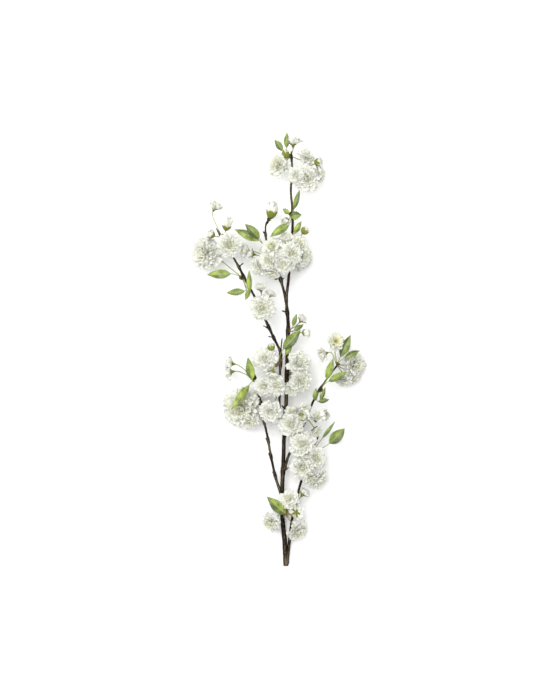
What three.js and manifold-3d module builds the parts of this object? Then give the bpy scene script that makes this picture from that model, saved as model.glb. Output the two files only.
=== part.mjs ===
// A cut sprig of double white cherry blossom, lying on a level surface as it was picked.
// Millimetres. +Y runs from the cut end to the tip, +Z is up and the surface is z = 0.
// The layout is measured from the cut end of the stem, and the finished sprig is moved so that
// the origin is the middle of its footprint.

import * as THREE from "three";
import Module from "manifold-3d";

const wasm = await Module();
wasm.setup();

const footprintMiddle = [-15.2, 500]; // from the cut end
const gap = 0.3; // clearance between neighbouring pieces
const petalThick = 0.8;
const petalsPerLayer = 5;
const coreShare = 0.15; // radius of a flower's core, as a share of the flower's
const sepalsPerCalyx = 5;
const sepalThick = 1.5; // at a sepal's foot
const leafThick = 0.8;
const stalkRadius = 1.2;
const stalkSides = 3;
const stubSides = 5; // sides of buds, bud scars and collars
const petioleRadius = 0.9;
const leafFold = 0.22; // rise of a blade's edge, as a share of its half width
const leafArch = 4; // usual rise of a blade's rib above the line between its ends
const calyxRadius = 3.6;
const calyxDepth = 6;
const sepalLength = 9;
const hiddenAbove = 0.8; // upward share of a facing beyond which a flower lies over its own sepals
const collarRadius = 3.4; // the green bud scales that a cluster grows from
const collarDepth = 0.3; // where in the collar its stalks start, as a share of its radius
const collarTaper = 0.75; // the collar's outer radius, as a share of its foot's
const collarRise = 2.8; // height of a collar's top above the point that its stalks leave from
const collarSeat = 0.9; // where on the limb the collar starts, as a share of the limb's radius
const scarTaper = 0.7; // a scar's radius at its end, as a share of its foot's
const petalWave = 0.1; // unevenness of a petal's edge, as a share of the flower's radius
const stalkBend = 14; // longest stretch of a stalk that already points along its flower
const longStalk = 40; // a stalk past this length has one more bend
const broadLeaf = 18; // a blade at least this wide has more teeth
const notchShare = 0.84; // width of a blade between two teeth, as a share of its width

const barkMaterial = new THREE.MeshStandardMaterial({ color: 0x3b2a22, roughness: 0.85, metalness: 0 });
const greenMaterial = new THREE.MeshStandardMaterial({ color: 0x8aa844, roughness: 0.6, metalness: 0 });
const petalMaterial = new THREE.MeshStandardMaterial({ color: 0xf6f5ee, roughness: 0.7, metalness: 0 });

// ---- layout of the wood ----
// route: x, y, z along the middle of the limb; radii: evenly spread along it
const limbs = [
  // the leader
  {
    sides: 6,
    step: 42,
    radii: [6.0, 5.3, 4.7, 4.4, 4.3, 4.2, 3.4, 3.1, 2.7, 2.0],
    route: [
      [0, 0, 4.4], [-3, 57, 11], [-8, 110, 18], [-9, 168, 24], [-6, 244, 31], [-4, 310, 36], [0, 375, 40],
      [2, 451, 45], [3, 508, 48], [5, 560, 51], [1, 616, 53], [6, 667, 54], [9, 720, 54], [15, 782, 54],
      [14, 830, 54], [11, 869, 54], [14, 905, 54], [12, 958, 54],
    ],
  },
  // a second stem that leaves the first at the cut end
  {
    sides: 5,
    step: 40,
    radii: [4.0, 3.2, 3.0, 2.8, 2.2],
    route: [
      [2, 5, 5], [8, 57, 11], [14, 108, 18], [25, 156, 23], [36, 200, 27], [57, 258, 31], [73, 301, 33],
      [77, 322, 35],
    ],
  },
  // the low branch on the left
  {
    sides: 5,
    step: 40,
    radii: [3.4, 2.9, 2.7, 2.3, 1.7],
    route: [
      [-8, 160, 23], [-22, 200, 28], [-34, 252, 33], [-44, 308, 37], [-54, 350, 41], [-60, 385, 44],
      [-67, 414, 46], [-72, 446, 48],
    ],
  },
  // the long branch that leans out to the left
  {
    sides: 5,
    step: 40,
    radii: [3.4, 2.7, 2.9, 2.9, 2.6, 2.3, 1.7],
    route: [
      [-3, 300, 35], [-11, 335, 41], [-15, 386, 47], [-14, 444, 53], [-13, 495, 57], [-28, 529, 60],
      [-46, 568, 61], [-66, 612, 60], [-92, 660, 58], [-110, 695, 57], [-129, 727, 56], [-161, 782, 54],
    ],
  },
  // the branch on the right
  {
    sides: 5,
    step: 40,
    radii: [3.3, 2.8, 2.8, 2.4, 1.6],
    route: [
      [-4, 226, 30], [7, 260, 35], [23, 292, 39], [39, 329, 43], [53, 361, 46], [68, 394, 48],
      [92, 432, 50], [117, 465, 50],
    ],
  },
  // the left arm of the fork
  {
    sides: 5,
    step: 40,
    radii: [3.2, 2.6, 2.2, 1.7],
    route: [
      [1, 612, 53], [-8, 648, 56], [-19, 680, 57], [-31, 694, 57], [-40, 725, 56], [-47, 768, 55],
      [-46, 789, 55], [-40, 799, 55],
    ],
  },
];
// short dead spurs and bud scars
const scars = [
  { from: [-13, 490, 57], to: [-9, 528, 64], radius: 1.8 },
  { from: [1, 588, 52], to: [-10, 592, 53], radius: 1.8 },
  { from: [-1, 362, 39], to: [-11, 376, 43], radius: 1.6 },
  { from: [1, 433, 44], to: [-8, 440, 45], radius: 1.6 },
  { from: [-4, 222, 29], to: [7, 231, 32], radius: 1.8 },
  { from: [-58, 378, 43], to: [-70, 387, 45], radius: 1.5 },
  { from: [-42, 552, 61], to: [-52, 557, 62], radius: 1.4 },
  { from: [-28, 529, 60], to: [-41, 533, 62], radius: 1.4 },
  { from: [-15, 666, 57], to: [-27, 663, 58], radius: 1.4 },
  { from: [-35, 255, 33], to: [-41, 264, 36], radius: 2.2 },
  { from: [-24, 212, 29], to: [-32, 220, 31], radius: 2.2 },
  { from: [40, 328, 43], to: [48, 340, 45], radius: 2.0 },
  { from: [-131, 727, 56], to: [-122, 741, 56], radius: 1.6 },
];

// ---- layout of the clusters ----
// Each cluster grows from one collar on the wood. "full" and "small" flowers are open, a "puff" is
// a double one with drooping outer petals, a "half" is opening and a "ball" is closed but white.
// Flowers of a cluster that share a name are pressed together and are one body.
const clusters = [
  {
    name: "crown",
    collar: [17, 908, 58],
    flowers: [
      { name: "left", kind: "full", at: [-21, 925, 74], face: [-0.35, 0.1, 0.93], radius: 26 },
      { name: "head", kind: "full", at: [48, 892, 76], face: [0.15, -0.15, 0.97], radius: 29 },
      { name: "head", kind: "small", at: [22, 899, 86], face: [-0.1, -0.25, 0.96], radius: 18 },
      { name: "head", kind: "small", at: [80, 906, 62], face: [0.93, 0.1, 0.3], radius: 20 },
    ],
    buds: [
      { at: [75, 931, 74], face: [0.75, 0.3, 0.4], radius: 9, length: 22 },
    ],
    leaves: [],
  },
  {
    name: "summit",
    collar: [11, 946, 58],
    flowers: [
      { name: "top", kind: "half", at: [17, 981, 62], face: [0.05, 0.97, 0.2], radius: 19 },
      { name: "high", kind: "small", at: [49, 946, 62], face: [0.6, 0.45, 0.65], radius: 20 },
    ],
    buds: [{ at: [-1, 950, 74], face: [-0.05, 0.95, 0.3], radius: 8, length: 26 }],
    leaves: [
      { base: [1, 964, 64], tip: [2, 1000, 66], width: 13 },
      { base: [-8, 958, 60], tip: [-26, 985, 56], width: 15 },
    ],
  },
  {
    name: "wing",
    collar: [-148, 762, 60],
    flowers: [
      { name: "open", kind: "full", at: [-130, 740, 84], face: [0.1, -0.1, 0.99], radius: 26 },
      { name: "cup", kind: "half", at: [-162, 832, 64], face: [0.35, 0.85, 0.4], radius: 17 },
    ],
    buds: [
      { at: [-135, 790, 66], face: [0.2, 0.95, 0.2], radius: 10, length: 32 },
      { at: [-172, 766, 66], face: [-0.85, 0.35, 0.4], radius: 8.5, length: 20 },
    ],
    leaves: [],
  },
  {
    name: "wing_low",
    collar: [-101, 668, 62],
    flowers: [{ name: "puff", kind: "puff", at: [-184, 723, 52], face: [-0.62, -0.05, 0.78], radius: 34 }],
    buds: [],
    leaves: [
      { base: [-127, 676, 68], tip: [-181, 674, 58], width: 21 },
      { base: [-95, 636, 66], tip: [-137, 632, 58], width: 16 },
      { base: [-84, 632, 70], tip: [-84, 684, 76], width: 12 },
      { base: [-84, 640, 62], tip: [-93, 616, 64], width: 11 },
    ],
  },
  {
    name: "ball_left",
    collar: [-45, 716, 56],
    flowers: [
      { name: "head", kind: "small", at: [-65, 690, 76], face: [-0.6, -0.45, 0.66], radius: 21 },
      { name: "head", kind: "small", at: [-42, 704, 94], face: [-0.3, -0.15, 0.94], radius: 21 },
      { name: "head", kind: "small", at: [-33, 736, 96], face: [-0.2, 0.3, 0.93], radius: 23 },
      { name: "head", kind: "small", at: [-31, 675, 80], face: [-0.1, -0.85, 0.5], radius: 18 },
      { name: "under", kind: "small", at: [-36, 724, 10.3], face: [-0.3, 0.1, -0.95], radius: 26 },
      { name: "cups", kind: "half", at: [-94, 730, 60], face: [-0.95, 0.1, 0.3], radius: 16 },
      { name: "cups", kind: "half", at: [-82, 722, 71], face: [-0.9, 0.2, 0.35], radius: 14 },
    ],
    buds: [],
    leaves: [
      { base: [-62, 752, 72], tip: [-118, 778, 64], width: 20 },
      { base: [-61, 756, 78], tip: [-93, 789, 82], width: 21 },
    ],
  },
  {
    name: "ball_right",
    collar: [19, 730, 56],
    flowers: [
      { name: "head", kind: "small", at: [2, 752, 86], face: [0, 0.6, 0.8], radius: 21 },
      { name: "head", kind: "small", at: [30, 744, 88], face: [0.4, 0.4, 0.8], radius: 21 },
      { name: "head", kind: "full", at: [40, 717, 77], face: [0.75, -0.1, 0.65], radius: 25 },
      { name: "head", kind: "full", at: [-5, 697, 95], face: [-0.05, -0.45, 0.89], radius: 24 },
      { name: "head", kind: "full", at: [13, 722, 106], face: [0.1, 0, 0.99], radius: 24 },
      { name: "under", kind: "small", at: [34, 712, 10.3], face: [0.3, -0.15, -0.95], radius: 26 },
    ],
    buds: [{ at: [44, 775, 76], face: [0.6, 0.7, 0.3], radius: 9, length: 22 }],
    leaves: [{ base: [19, 768, 66], tip: [35, 796, 68], width: 13 }],
  },
  {
    name: "fork_bud",
    collar: [-42, 797, 57],
    flowers: [],
    buds: [{ at: [-32, 822, 60], face: [0.2, 0.95, 0.2], radius: 12, length: 42 }],
    leaves: [],
  },
  {
    name: "neck",
    collar: [13, 812, 58],
    flowers: [],
    buds: [{ at: [-1, 796, 72], face: [-0.6, -0.3, 0.7], radius: 7.5, length: 17 }],
    leaves: [
      { base: [18, 824, 62], tip: [31, 868, 66], width: 12 },
      { base: [7, 813, 64], tip: [-7, 825, 66], width: 11 },
      { base: [10, 806, 72], tip: [35, 811, 74], width: 19 },
      { base: [6, 787, 74], tip: [-36, 758, 104], width: 19, arch: 14 },
    ],
  },
  {
    name: "pendant",
    collar: [-60, 602, 66],
    flowers: [
      { name: "open", kind: "full", at: [-55, 597, 92], face: [0, -0.1, 0.99], radius: 28 },
      { name: "cup_left", kind: "half", at: [-58, 646, 76], face: [-0.1, 0.9, 0.4], radius: 15 },
      { name: "cup_right", kind: "half", at: [-35, 631, 72], face: [0.45, 0.85, 0.3], radius: 12 },
    ],
    buds: [],
    leaves: [],
  },
  {
    name: "twin",
    collar: [5, 545, 56],
    flowers: [
      { name: "cup", kind: "half", at: [38, 573, 66], face: [0.6, 0.7, 0.4], radius: 13 },
    ],
    buds: [{ at: [46, 541, 60], face: [0.9, 0, 0.2], radius: 8, length: 19 }],
    leaves: [
      { base: [16, 556, 64], tip: [24, 584, 70], width: 10 },
      { base: [18, 546, 62], tip: [40, 560, 56], width: 11 },
    ],
  },
  {
    name: "inner_high",
    collar: [-18, 470, 58],
    flowers: [
      { name: "open", kind: "full", at: [-49, 482, 74], face: [-0.2, 0.1, 0.97], radius: 26 },
      { name: "nodding", kind: "half", at: [-32, 447, 88], face: [-0.25, -0.9, 0.1], radius: 14 },
    ],
    buds: [{ at: [-34, 509, 76], face: [-0.1, 0.95, 0.3], radius: 8, length: 20 }],
    leaves: [
      { base: [-6, 504, 70], tip: [33, 547, 72], width: 24 },
      { base: [0, 490, 64], tip: [14, 514, 64], width: 10 },
    ],
  },
  {
    name: "inner_low",
    collar: [-18, 402, 50],
    flowers: [
      { name: "pair", kind: "full", at: [-51, 418, 70], face: [-0.3, -0.1, 0.95], radius: 23 },
      { name: "pair", kind: "small", at: [-22, 421, 78], face: [0.2, 0.1, 0.97], radius: 22 },
      { name: "low", kind: "full", at: [-35, 359, 72], face: [-0.1, -0.3, 0.95], radius: 25 },
    ],
    buds: [],
    leaves: [],
  },
  {
    name: "puff",
    collar: [-66, 384, 43],
    flowers: [
      { name: "head", kind: "puff", at: [-101, 368, 36], face: [-0.25, -0.05, 0.97], radius: 42 },
      { name: "head", kind: "small", at: [-82, 338, 52], face: [0.15, -0.5, 0.85], radius: 22 },
    ],
    buds: [],
    leaves: [],
  },
  {
    name: "puff_leaves",
    collar: [-71, 434, 51],
    flowers: [
      { name: "cups", kind: "half", at: [-131, 471, 58], face: [-0.95, 0.15, 0.2], radius: 16 },
      { name: "cups", kind: "half", at: [-133, 450, 54], face: [-0.95, -0.15, 0.1], radius: 16 },
    ],
    buds: [],
    leaves: [
      { base: [-78, 433, 62], tip: [-87, 485, 72], width: 20 },
      { base: [-85, 421, 64], tip: [-124, 366, 92], width: 18, arch: 14 },
    ],
  },
  {
    name: "middle",
    collar: [6, 450, 49],
    flowers: [
      { name: "head", kind: "full", at: [31, 472, 72], face: [0.3, 0.15, 0.93], radius: 27 },
      { name: "head", kind: "full", at: [36, 430, 72], face: [0.35, -0.2, 0.9], radius: 25 },
      { name: "head", kind: "small", at: [13, 410, 66], face: [-0.1, -0.4, 0.9], radius: 17 },
    ],
    buds: [],
    leaves: [],
  },
  {
    name: "tip",
    collar: [117, 467, 52],
    flowers: [
      { name: "high", kind: "small", at: [115, 522, 70], face: [0.3, 0.15, 0.94], radius: 21 },
      { name: "left", kind: "half", at: [83, 491, 68], face: [-0.85, -0.3, 0.4], radius: 17 },
      { name: "head", kind: "full", at: [162, 466, 23], face: [0.65, 0, 0.75], radius: 29 },
      { name: "head", kind: "small", at: [160, 436, 24], face: [0.6, -0.6, 0.5], radius: 18 },
      { name: "head", kind: "small", at: [136, 427, 38], face: [0.1, -0.85, 0.5], radius: 18 },
    ],
    buds: [],
    leaves: [
      { base: [125, 486, 62], tip: [148, 536, 64], width: 21 },
      { base: [136, 485, 58], tip: [170, 500, 52], width: 14 },
    ],
  },
  {
    name: "right_leaves",
    collar: [79, 412, 50.5],
    flowers: [],
    buds: [],
    leaves: [
      { base: [93, 434, 60], tip: [108, 482, 64], width: 17 },
      { base: [98, 430, 60], tip: [140, 452, 72], width: 16 },
      { base: [74, 383, 58], tip: [99, 388, 54], width: 11 },
      { base: [80, 387, 60], tip: [90, 416, 58], width: 9 },
      { base: [66, 386, 58], tip: [69, 414, 60], width: 12 },
    ],
  },
  {
    name: "centre",
    collar: [0, 342, 42],
    flowers: [
      { name: "head", kind: "full", at: [12, 331, 66], face: [0, -0.05, 1], radius: 27 },
      { name: "head", kind: "small", at: [14, 362, 60], face: [0.1, 0.75, 0.6], radius: 16 },
    ],
    buds: [],
    leaves: [],
  },
  {
    name: "scatter",
    collar: [48, 345, 50],
    flowers: [
      { name: "pair", kind: "small", at: [42, 373, 65], face: [-0.1, 0.8, 0.55], radius: 14 },
      { name: "pair", kind: "ball", at: [39, 354, 72], face: [-0.3, 0.1, 0.9], radius: 13 },
      { name: "far_pair", kind: "half", at: [69, 349, 64], face: [0.3, 0.4, 0.8], radius: 15 },
      { name: "far_pair", kind: "ball", at: [87, 352, 60], face: [0.8, 0.2, 0.5], radius: 11 },
      { name: "low_cup", kind: "half", at: [70, 315, 64], face: [0.4, -0.6, 0.6], radius: 14 },
    ],
    buds: [],
    leaves: [],
  },
  {
    name: "low_right",
    collar: [60, 266, 36],
    flowers: [
      { name: "head", kind: "full", at: [37, 286, 70], face: [-0.1, 0.2, 0.97], radius: 29 },
      { name: "head", kind: "full", at: [37, 231, 63], face: [-0.1, -0.3, 0.95], radius: 27 },
      { name: "head", kind: "full", at: [69, 255, 66], face: [0.4, 0.1, 0.9], radius: 25 },
      { name: "head", kind: "full", at: [78, 202, 48], face: [0.7, -0.6, 0.4], radius: 25 },
      { name: "head", kind: "small", at: [57, 206, 56], face: [0.1, -0.7, 0.7], radius: 20 },
    ],
    buds: [],
    leaves: [
      { base: [100, 286, 42], tip: [136, 321, 40], width: 26 },
      { base: [84, 298, 40], tip: [113, 337, 42], width: 8 },
    ],
  },
  {
    name: "foot",
    collar: [-2, 128, 30],
    flowers: [
      { name: "cup", kind: "half", at: [42, 174, 42], face: [0.55, 0.8, 0.2], radius: 14 },
      { name: "open", kind: "small", at: [6, 159, 50], face: [-0.2, 0.2, 0.96], radius: 21 },
      { name: "left", kind: "small", at: [-37, 101, 34], face: [-0.5, -0.55, 0.65], radius: 22 },
      { name: "right", kind: "full", at: [29, 81, 34], face: [0.55, -0.5, 0.65], radius: 24 },
      { name: "nodding", kind: "small", at: [27, 130, 38], face: [0.5, 0.4, -0.75], radius: 19 },
    ],
    buds: [],
    leaves: [{ base: [0, 122, 36], tip: [-44, 164, 44], width: 25 }],
  },
];

// ---- closed skins ----
// Skin gathers rings of corners from the bottom of a body to its top and closes them into a solid.
class Skin {
  constructor() {
    this.corners = [];
    this.triangles = [];
  }

  ring(points) {
    const first = this.corners.length;
    this.corners.push(...points);
    return points.map((_, index) => first + index);
  }

  triangle(a, b, c, turned = false) {
    this.triangles.push(turned ? [a, c, b] : [a, b, c]);
  }

  // between two rings with the same number of corners
  band(lower, upper) {
    lower.forEach((corner, index) => {
      const next = (index + 1) % lower.length;
      this.triangle(corner, lower[next], upper[next]);
      this.triangle(corner, upper[next], upper[index]);
    });
  }

  // between two rings that start at the same angle but differ in their number of corners
  blend(lower, upper) {
    let [below, above] = [0, 0];
    while (below < lower.length || above < upper.length) {
      const corner = lower[below % lower.length];
      const over = upper[above % upper.length];
      if ((below + 1) / lower.length <= (above + 1) / upper.length) {
        below += 1;
        this.triangle(corner, lower[below % lower.length], over);
      } else {
        above += 1;
        this.triangle(corner, upper[above % upper.length], over);
      }
    }
  }

  // between a ring and an outline that has `share` corners for each corner of the ring
  fringe(ring, outline, share, inward = false) {
    const middle = Math.ceil(share / 2);
    ring.forEach((corner, petal) => {
      const next = ring[(petal + 1) % ring.length];
      const edge = (index) => outline[(petal * share + index) % outline.length];
      for (let index = 0; index < share; index += 1) {
        this.triangle(index < middle ? corner : next, edge(index + 1), edge(index), inward);
      }
      this.triangle(corner, next, edge(middle), inward);
    });
  }

  // the same, where each corner of the ring lies under the middle of its stretch of the outline
  fan(ring, outline, share) {
    ring.forEach((corner, petal) => {
      const first = (petal + ring.length - 1) * share;
      const edge = (index) => outline[(first + index) % outline.length];
      for (let index = 0; index < share; index += 1) {
        this.triangle(corner, edge(index + 1), edge(index));
      }
      this.triangle(corner, ring[(petal + 1) % ring.length], edge(share));
    });
  }

  // a pointed blade on each side of a ring, thick at its foot between the lower and upper corners
  points(lower, upper, tips) {
    lower.forEach((corner, index) => {
      const next = (index + 1) % lower.length;
      this.triangle(corner, lower[next], tips[index]);
      this.triangle(tips[index], lower[next], upper[next]);
      this.triangle(corner, tips[index], upper[index]);
      this.triangle(upper[index], tips[index], upper[next]);
    });
  }

  cap(ring, bottom = false) {
    for (let index = 1; index < ring.length - 1; index += 1) {
      this.triangle(ring[0], ring[index], ring[index + 1], bottom);
    }
  }

  peak(ring, top) {
    const [tip] = this.ring([top]);
    ring.forEach((corner, index) => this.triangle(corner, ring[(index + 1) % ring.length], tip));
  }

  solid() {
    const vertProperties = new Float32Array(this.corners.flatMap((corner) => corner.toArray()));
    const triVerts = new Uint32Array(this.triangles.flat());
    return new wasm.Manifold(new wasm.Mesh({ numProp: 3, vertProperties, triVerts }));
  }
}

const upwards = new THREE.Vector3(0, 0, 1);
const vector = (values) => new THREE.Vector3(...values);
const radians = (degrees) => (degrees * Math.PI) / 180;

function seededRandom(seed) {
  let state = seed * 7919 + 17;
  return () => {
    state = (state * 1103515245 + 12345) % 2147483648;
    return state / 2147483648;
  };
}

// corners round a point, across two directions
function circle(centre, radius, sides, across, along) {
  return Array.from({ length: sides }, (_, index) => {
    const angle = (index * 2 * Math.PI) / sides;
    return centre
      .clone()
      .addScaledVector(across, radius * Math.cos(angle))
      .addScaledVector(along, radius * Math.sin(angle));
  });
}

// rings of corners along a curve, with radii that are evenly spread along it
function tubeRings(skin, curve, radii, sides, steps) {
  const { normals, binormals } = curve.computeFrenetFrames(steps);
  const rings = Array.from({ length: steps + 1 }, (_, index) => {
    const place = (index / steps) * (radii.length - 1);
    const before = Math.min(Math.floor(place), radii.length - 2);
    const radius = THREE.MathUtils.lerp(radii[before], radii[before + 1], place - before);
    const centre = curve.getPointAt(index / steps);
    return skin.ring(circle(centre, radius, sides, normals[index], binormals[index]));
  });
  skin.cap(rings[0], true);
  rings.slice(1).forEach((ring, index) => skin.band(rings[index], ring));
  return { last: rings[steps], across: normals[steps], along: binormals[steps] };
}

function tube(curve, radii, sides, steps) {
  const skin = new Skin();
  skin.cap(tubeRings(skin, curve, radii, sides, steps).last);
  return skin.solid();
}

// ---- wood ----
const woodCurves = limbs.map(({ route }) => new THREE.CatmullRomCurve3(route.map(vector)));

function wood(extra) {
  const grown = (radii) => radii.map((radius) => radius + extra);
  const stems = limbs.map(({ radii, sides, step }, index) => {
    const steps = Math.round(woodCurves[index].getLength() / step);
    return tube(woodCurves[index], grown(radii), sides, steps);
  });
  const spurs = scars.map(({ from, to, radius }) =>
    tube(new THREE.LineCurve3(vector(from), vector(to)), grown([radius, radius * scarTaper]), stubSides, 1),
  );
  return [...stems, ...spurs].reduce((whole, solid) => whole.add(solid));
}

// the limb's middle and its radius where it passes nearest to a point
function nearestOnWood(point) {
  const last = 199; // places tried along each limb
  const places = limbs.flatMap(({ radii }, index) =>
    Array.from({ length: last + 1 }, (_, step) => {
      const place = (step / last) * (radii.length - 1);
      const before = Math.min(Math.floor(place), radii.length - 2);
      return {
        middle: woodCurves[index].getPointAt(step / last),
        radius: THREE.MathUtils.lerp(radii[before], radii[before + 1], place - before),
      };
    }),
  );
  const distance = ({ middle }) => middle.distanceToSquared(point);
  return places.reduce((best, place) => (distance(place) < distance(best) ? place : best));
}

// ---- flowers ----
// depth: how far the flower's middle lies above its calyx. flats: thin layers of five petals, the
// lowest of them the underside of the flower. cups: layers that stand up round the middle, each
// with a thick foot. tuft: the petals still folded in the middle, as width and height.
// Tilts are in degrees, the rest are shares of the flower's radius.
const flowerKinds = {
  small: {
    depth: 0.35,
    flats: [{ tilt: 2, reach: 1, height: 0, edge: "round" }],
    cups: [{ tilt: 36, reach: 0.92, foot: 0.12 }],
    tuft: [0, 0.1],
    sepalTilt: -14,
  },
  full: {
    depth: 0.35,
    flats: [{ tilt: 2, reach: 1, height: 0, edge: "notched" }],
    cups: [{ tilt: 34, reach: 0.92, foot: 0.12 }],
    tuft: [0, 0.1],
    sepalTilt: -14,
  },
  puff: {
    depth: 0.25,
    flats: [
      { tilt: -38, reach: 0.95, height: 0.12, edge: "round" },
      { tilt: -4, reach: 1, height: 0.15, edge: "notched" },
    ],
    cups: [
      { tilt: 24, reach: 0.98, foot: 0.08 },
      { tilt: 46, reach: 0.86, foot: 0.08 },
      { tilt: 60, reach: 0.74, foot: 0.1 },
    ],
    tuft: [0, 0.1],
    sepalTilt: -50,
  },
  half: {
    depth: 0.6,
    flats: [],
    cups: [{ tilt: 48, reach: 1.25, foot: 0.3 }],
    tuft: [0.5, 0.6],
    sepalTilt: 30,
  },
  ball: { depth: 0.8, flats: [], cups: [], tuft: [0.95, 0.7], sepalTilt: 15 },
};
// place along a petal's edge, as a share of its angle, and length there
const petalEdges = {
  round: [[0, 0.74], [0.3, 1], [0.7, 1]],
  notched: [[0, 0.74], [0.28, 1], [0.5, 0.9], [0.72, 1]],
};

const tuftPeak = 0.6; // rise of a tuft's point above its broadest ring, as a share of its width
const halfPetal = Math.PI / petalsPerLayer; // angle between a petal's middle and its side

const polar = (angle, out, up) => new THREE.Vector3(out * Math.cos(angle), out * Math.sin(angle), up);

// the waved edge of a layer: how far each corner lies along the tilt, and how far off it
function wavedEdge(edge, { radius, turn, random, extra }, tilt, reach) {
  const lean = radians(tilt);
  return Array.from({ length: petalsPerLayer }, (_, petal) =>
    petalEdges[edge].map(([place, length]) => {
      const along = radius * reach * (length + petalWave * (random() - 0.5)) + extra;
      const wave = radius * petalWave * (random() - 0.5);
      return {
        angle: turn + ((petal + place) * 2 * Math.PI) / petalsPerLayer,
        out: along * Math.cos(lean) - wave * Math.sin(lean),
        up: along * Math.sin(lean) + wave * Math.cos(lean),
      };
    }),
  ).flat();
}

function axisRing(skin, turn, out, up) {
  const centre = new THREE.Vector3(0, 0, up);
  return skin.ring(circle(centre, out, petalsPerLayer, polar(turn, 1, 0), polar(turn + Math.PI / 2, 1, 0)));
}

// A thin layer of petals on the core; it closes the flower below where there is no ring to join.
function flatLayer(skin, below, { tilt, reach, height, edge }, flower) {
  const { radius, core, turn, extra } = flower;
  const lean = radians(tilt);
  const thick = petalThick + 2 * extra;
  const base = height * radius - extra;
  const edges = wavedEdge(edge, flower, tilt, reach);
  const share = petalEdges[edge].length;
  const rise = base + core * Math.tan(lean);
  const lowerCore = axisRing(skin, turn, core, rise);
  const lowerEdge = skin.ring(edges.map(({ angle, out, up }) => polar(angle, out, base + up)));
  const upperEdge = skin.ring(
    edges.map(({ angle, out, up }) =>
      polar(angle, out - thick * Math.sin(lean), base + up + thick * Math.cos(lean)),
    ),
  );
  const upperCore = axisRing(skin, turn, core, rise + thick / Math.cos(lean));
  if (below) {
    skin.band(below.ring, lowerCore);
  } else {
    skin.cap(lowerCore, true);
  }
  skin.fringe(lowerCore, lowerEdge, share);
  skin.band(lowerEdge, upperEdge);
  skin.fringe(upperCore, upperEdge, share, true);
  return { ring: upperCore, up: rise + thick / Math.cos(lean) };
}

// A standing layer of petals that thins from its foot to its edge. It is turned by half a petal from
// the ring below, whose corners carry the middles of its petals.
function cupLayer(skin, below, { tilt, reach, foot }, flower) {
  const { radius, core, turn, extra } = flower;
  const edges = wavedEdge("round", flower, tilt, reach);
  const rim = skin.ring(edges.map(({ angle, out, up }) => polar(angle, out, below.up + up)));
  const up = below.up + foot * radius + 2 * extra;
  const inner = axisRing(skin, turn, core, up);
  skin.fan(below.ring, rim, petalEdges.round.length);
  skin.fringe(inner, rim, petalEdges.round.length, true);
  return { ring: inner, up };
}

// The white petals of one flower in one skin, on a slim core, with a folded tuft in the middle.
// Its up is its facing, and its foot is at the calyx.
function petals({ kind, at, face, radius }, seed, extra) {
  const { flats, cups, tuft, depth } = flowerKinds[kind];
  const random = seededRandom(seed);
  const skin = new Skin();
  const flower = { radius, core: radius * coreShare + extra, turn: random() * 2 * Math.PI, random, extra };
  let layer;
  for (const flat of flats) {
    layer = flatLayer(skin, layer, flat, flower);
    flower.turn += halfPetal;
  }
  if (!layer) {
    layer = { ring: axisRing(skin, flower.turn - halfPetal, flower.core, -extra), up: -extra };
    skin.cap(layer.ring, true);
  }
  for (const cup of cups) {
    flower.core = (flower.core - extra) * Math.cos(halfPetal) + extra; // stays inside the ring below
    layer = cupLayer(skin, layer, cup, flower);
    flower.turn += halfPetal;
  }
  const [width, height] = tuft;
  let top = layer.ring;
  if (width > 0) {
    top = axisRing(skin, flower.turn, width * radius + extra, layer.up + height * radius);
    skin.band(layer.ring, top);
  }
  skin.peak(top, new THREE.Vector3(0, 0, layer.up + (height + tuftPeak * width) * radius + extra));
  const facing = vector(face).normalize();
  const turned = new THREE.Quaternion().setFromUnitVectors(upwards, facing);
  const base = vector(at).addScaledVector(facing, -depth * radius);
  skin.corners.forEach((corner) => corner.applyQuaternion(turned).add(base));
  return skin.solid();
}

// ---- the green of a cluster ----
const leavingShare = 0.3; // stretch of a stalk that leaves the collar straight
const bendShare = 0.4; // most of a short stalk or petiole that points along what it carries

// a stalk's middle line, from inside the collar to the foot of what it carries
function stalkCurve(collar, foot, facing) {
  const start = collar.clone().add(foot.clone().sub(collar).setLength(collarRadius * collarDepth));
  const bend = Math.min(foot.distanceTo(start) * bendShare, stalkBend);
  const leaving = start.clone().lerp(foot, leavingShare);
  return new THREE.CubicBezierCurve3(start, leaving, foot.clone().addScaledVector(facing, -bend), foot);
}

function stalk(skin, collar, foot, facing, extra) {
  const curve = stalkCurve(collar, foot, facing);
  const steps = curve.getLength() > longStalk ? 3 : 2;
  return tubeRings(skin, curve, [stalkRadius + extra, stalkRadius + extra], stalkSides, steps);
}

function calyx(collar, { kind, at, face, radius }, extra) {
  const { depth, sepalTilt } = flowerKinds[kind];
  const facing = vector(face).normalize();
  const top = vector(at).addScaledVector(facing, -depth * radius - gap);
  const foot = top.clone().addScaledVector(facing, -calyxDepth);
  const skin = new Skin();
  const { last, across, along } = stalk(skin, collar, foot, facing, extra);
  const ringAt = (up, radius, turn = 0) => {
    const side = across.clone().applyAxisAngle(facing, turn);
    const front = along.clone().applyAxisAngle(facing, turn);
    const centre = top.clone().addScaledVector(facing, up);
    return skin.ring(circle(centre, radius + extra, sepalsPerCalyx, side, front));
  };
  const bare = facing.z > hiddenAbove;
  const lower = ringAt(bare ? extra : -sepalThick - extra, calyxRadius);
  skin.blend(last, lower);
  if (bare) {
    skin.cap(lower);
    return skin.solid();
  }
  const lean = radians(sepalTilt);
  const reach = sepalLength + 2 * extra;
  const upper = ringAt(extra, calyxRadius);
  const halfTurn = Math.PI / sepalsPerCalyx; // a sepal's tip lies between two corners of the calyx
  const tips = ringAt(reach * Math.sin(lean), calyxRadius + reach * Math.cos(lean), halfTurn);
  skin.points(lower, upper, tips);
  skin.cap(upper);
  return skin.solid();
}

// rings of a bud: share of its length, share of its radius
const budRings = [[0.28, 0.85], [0.64, 0.95]];

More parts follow.
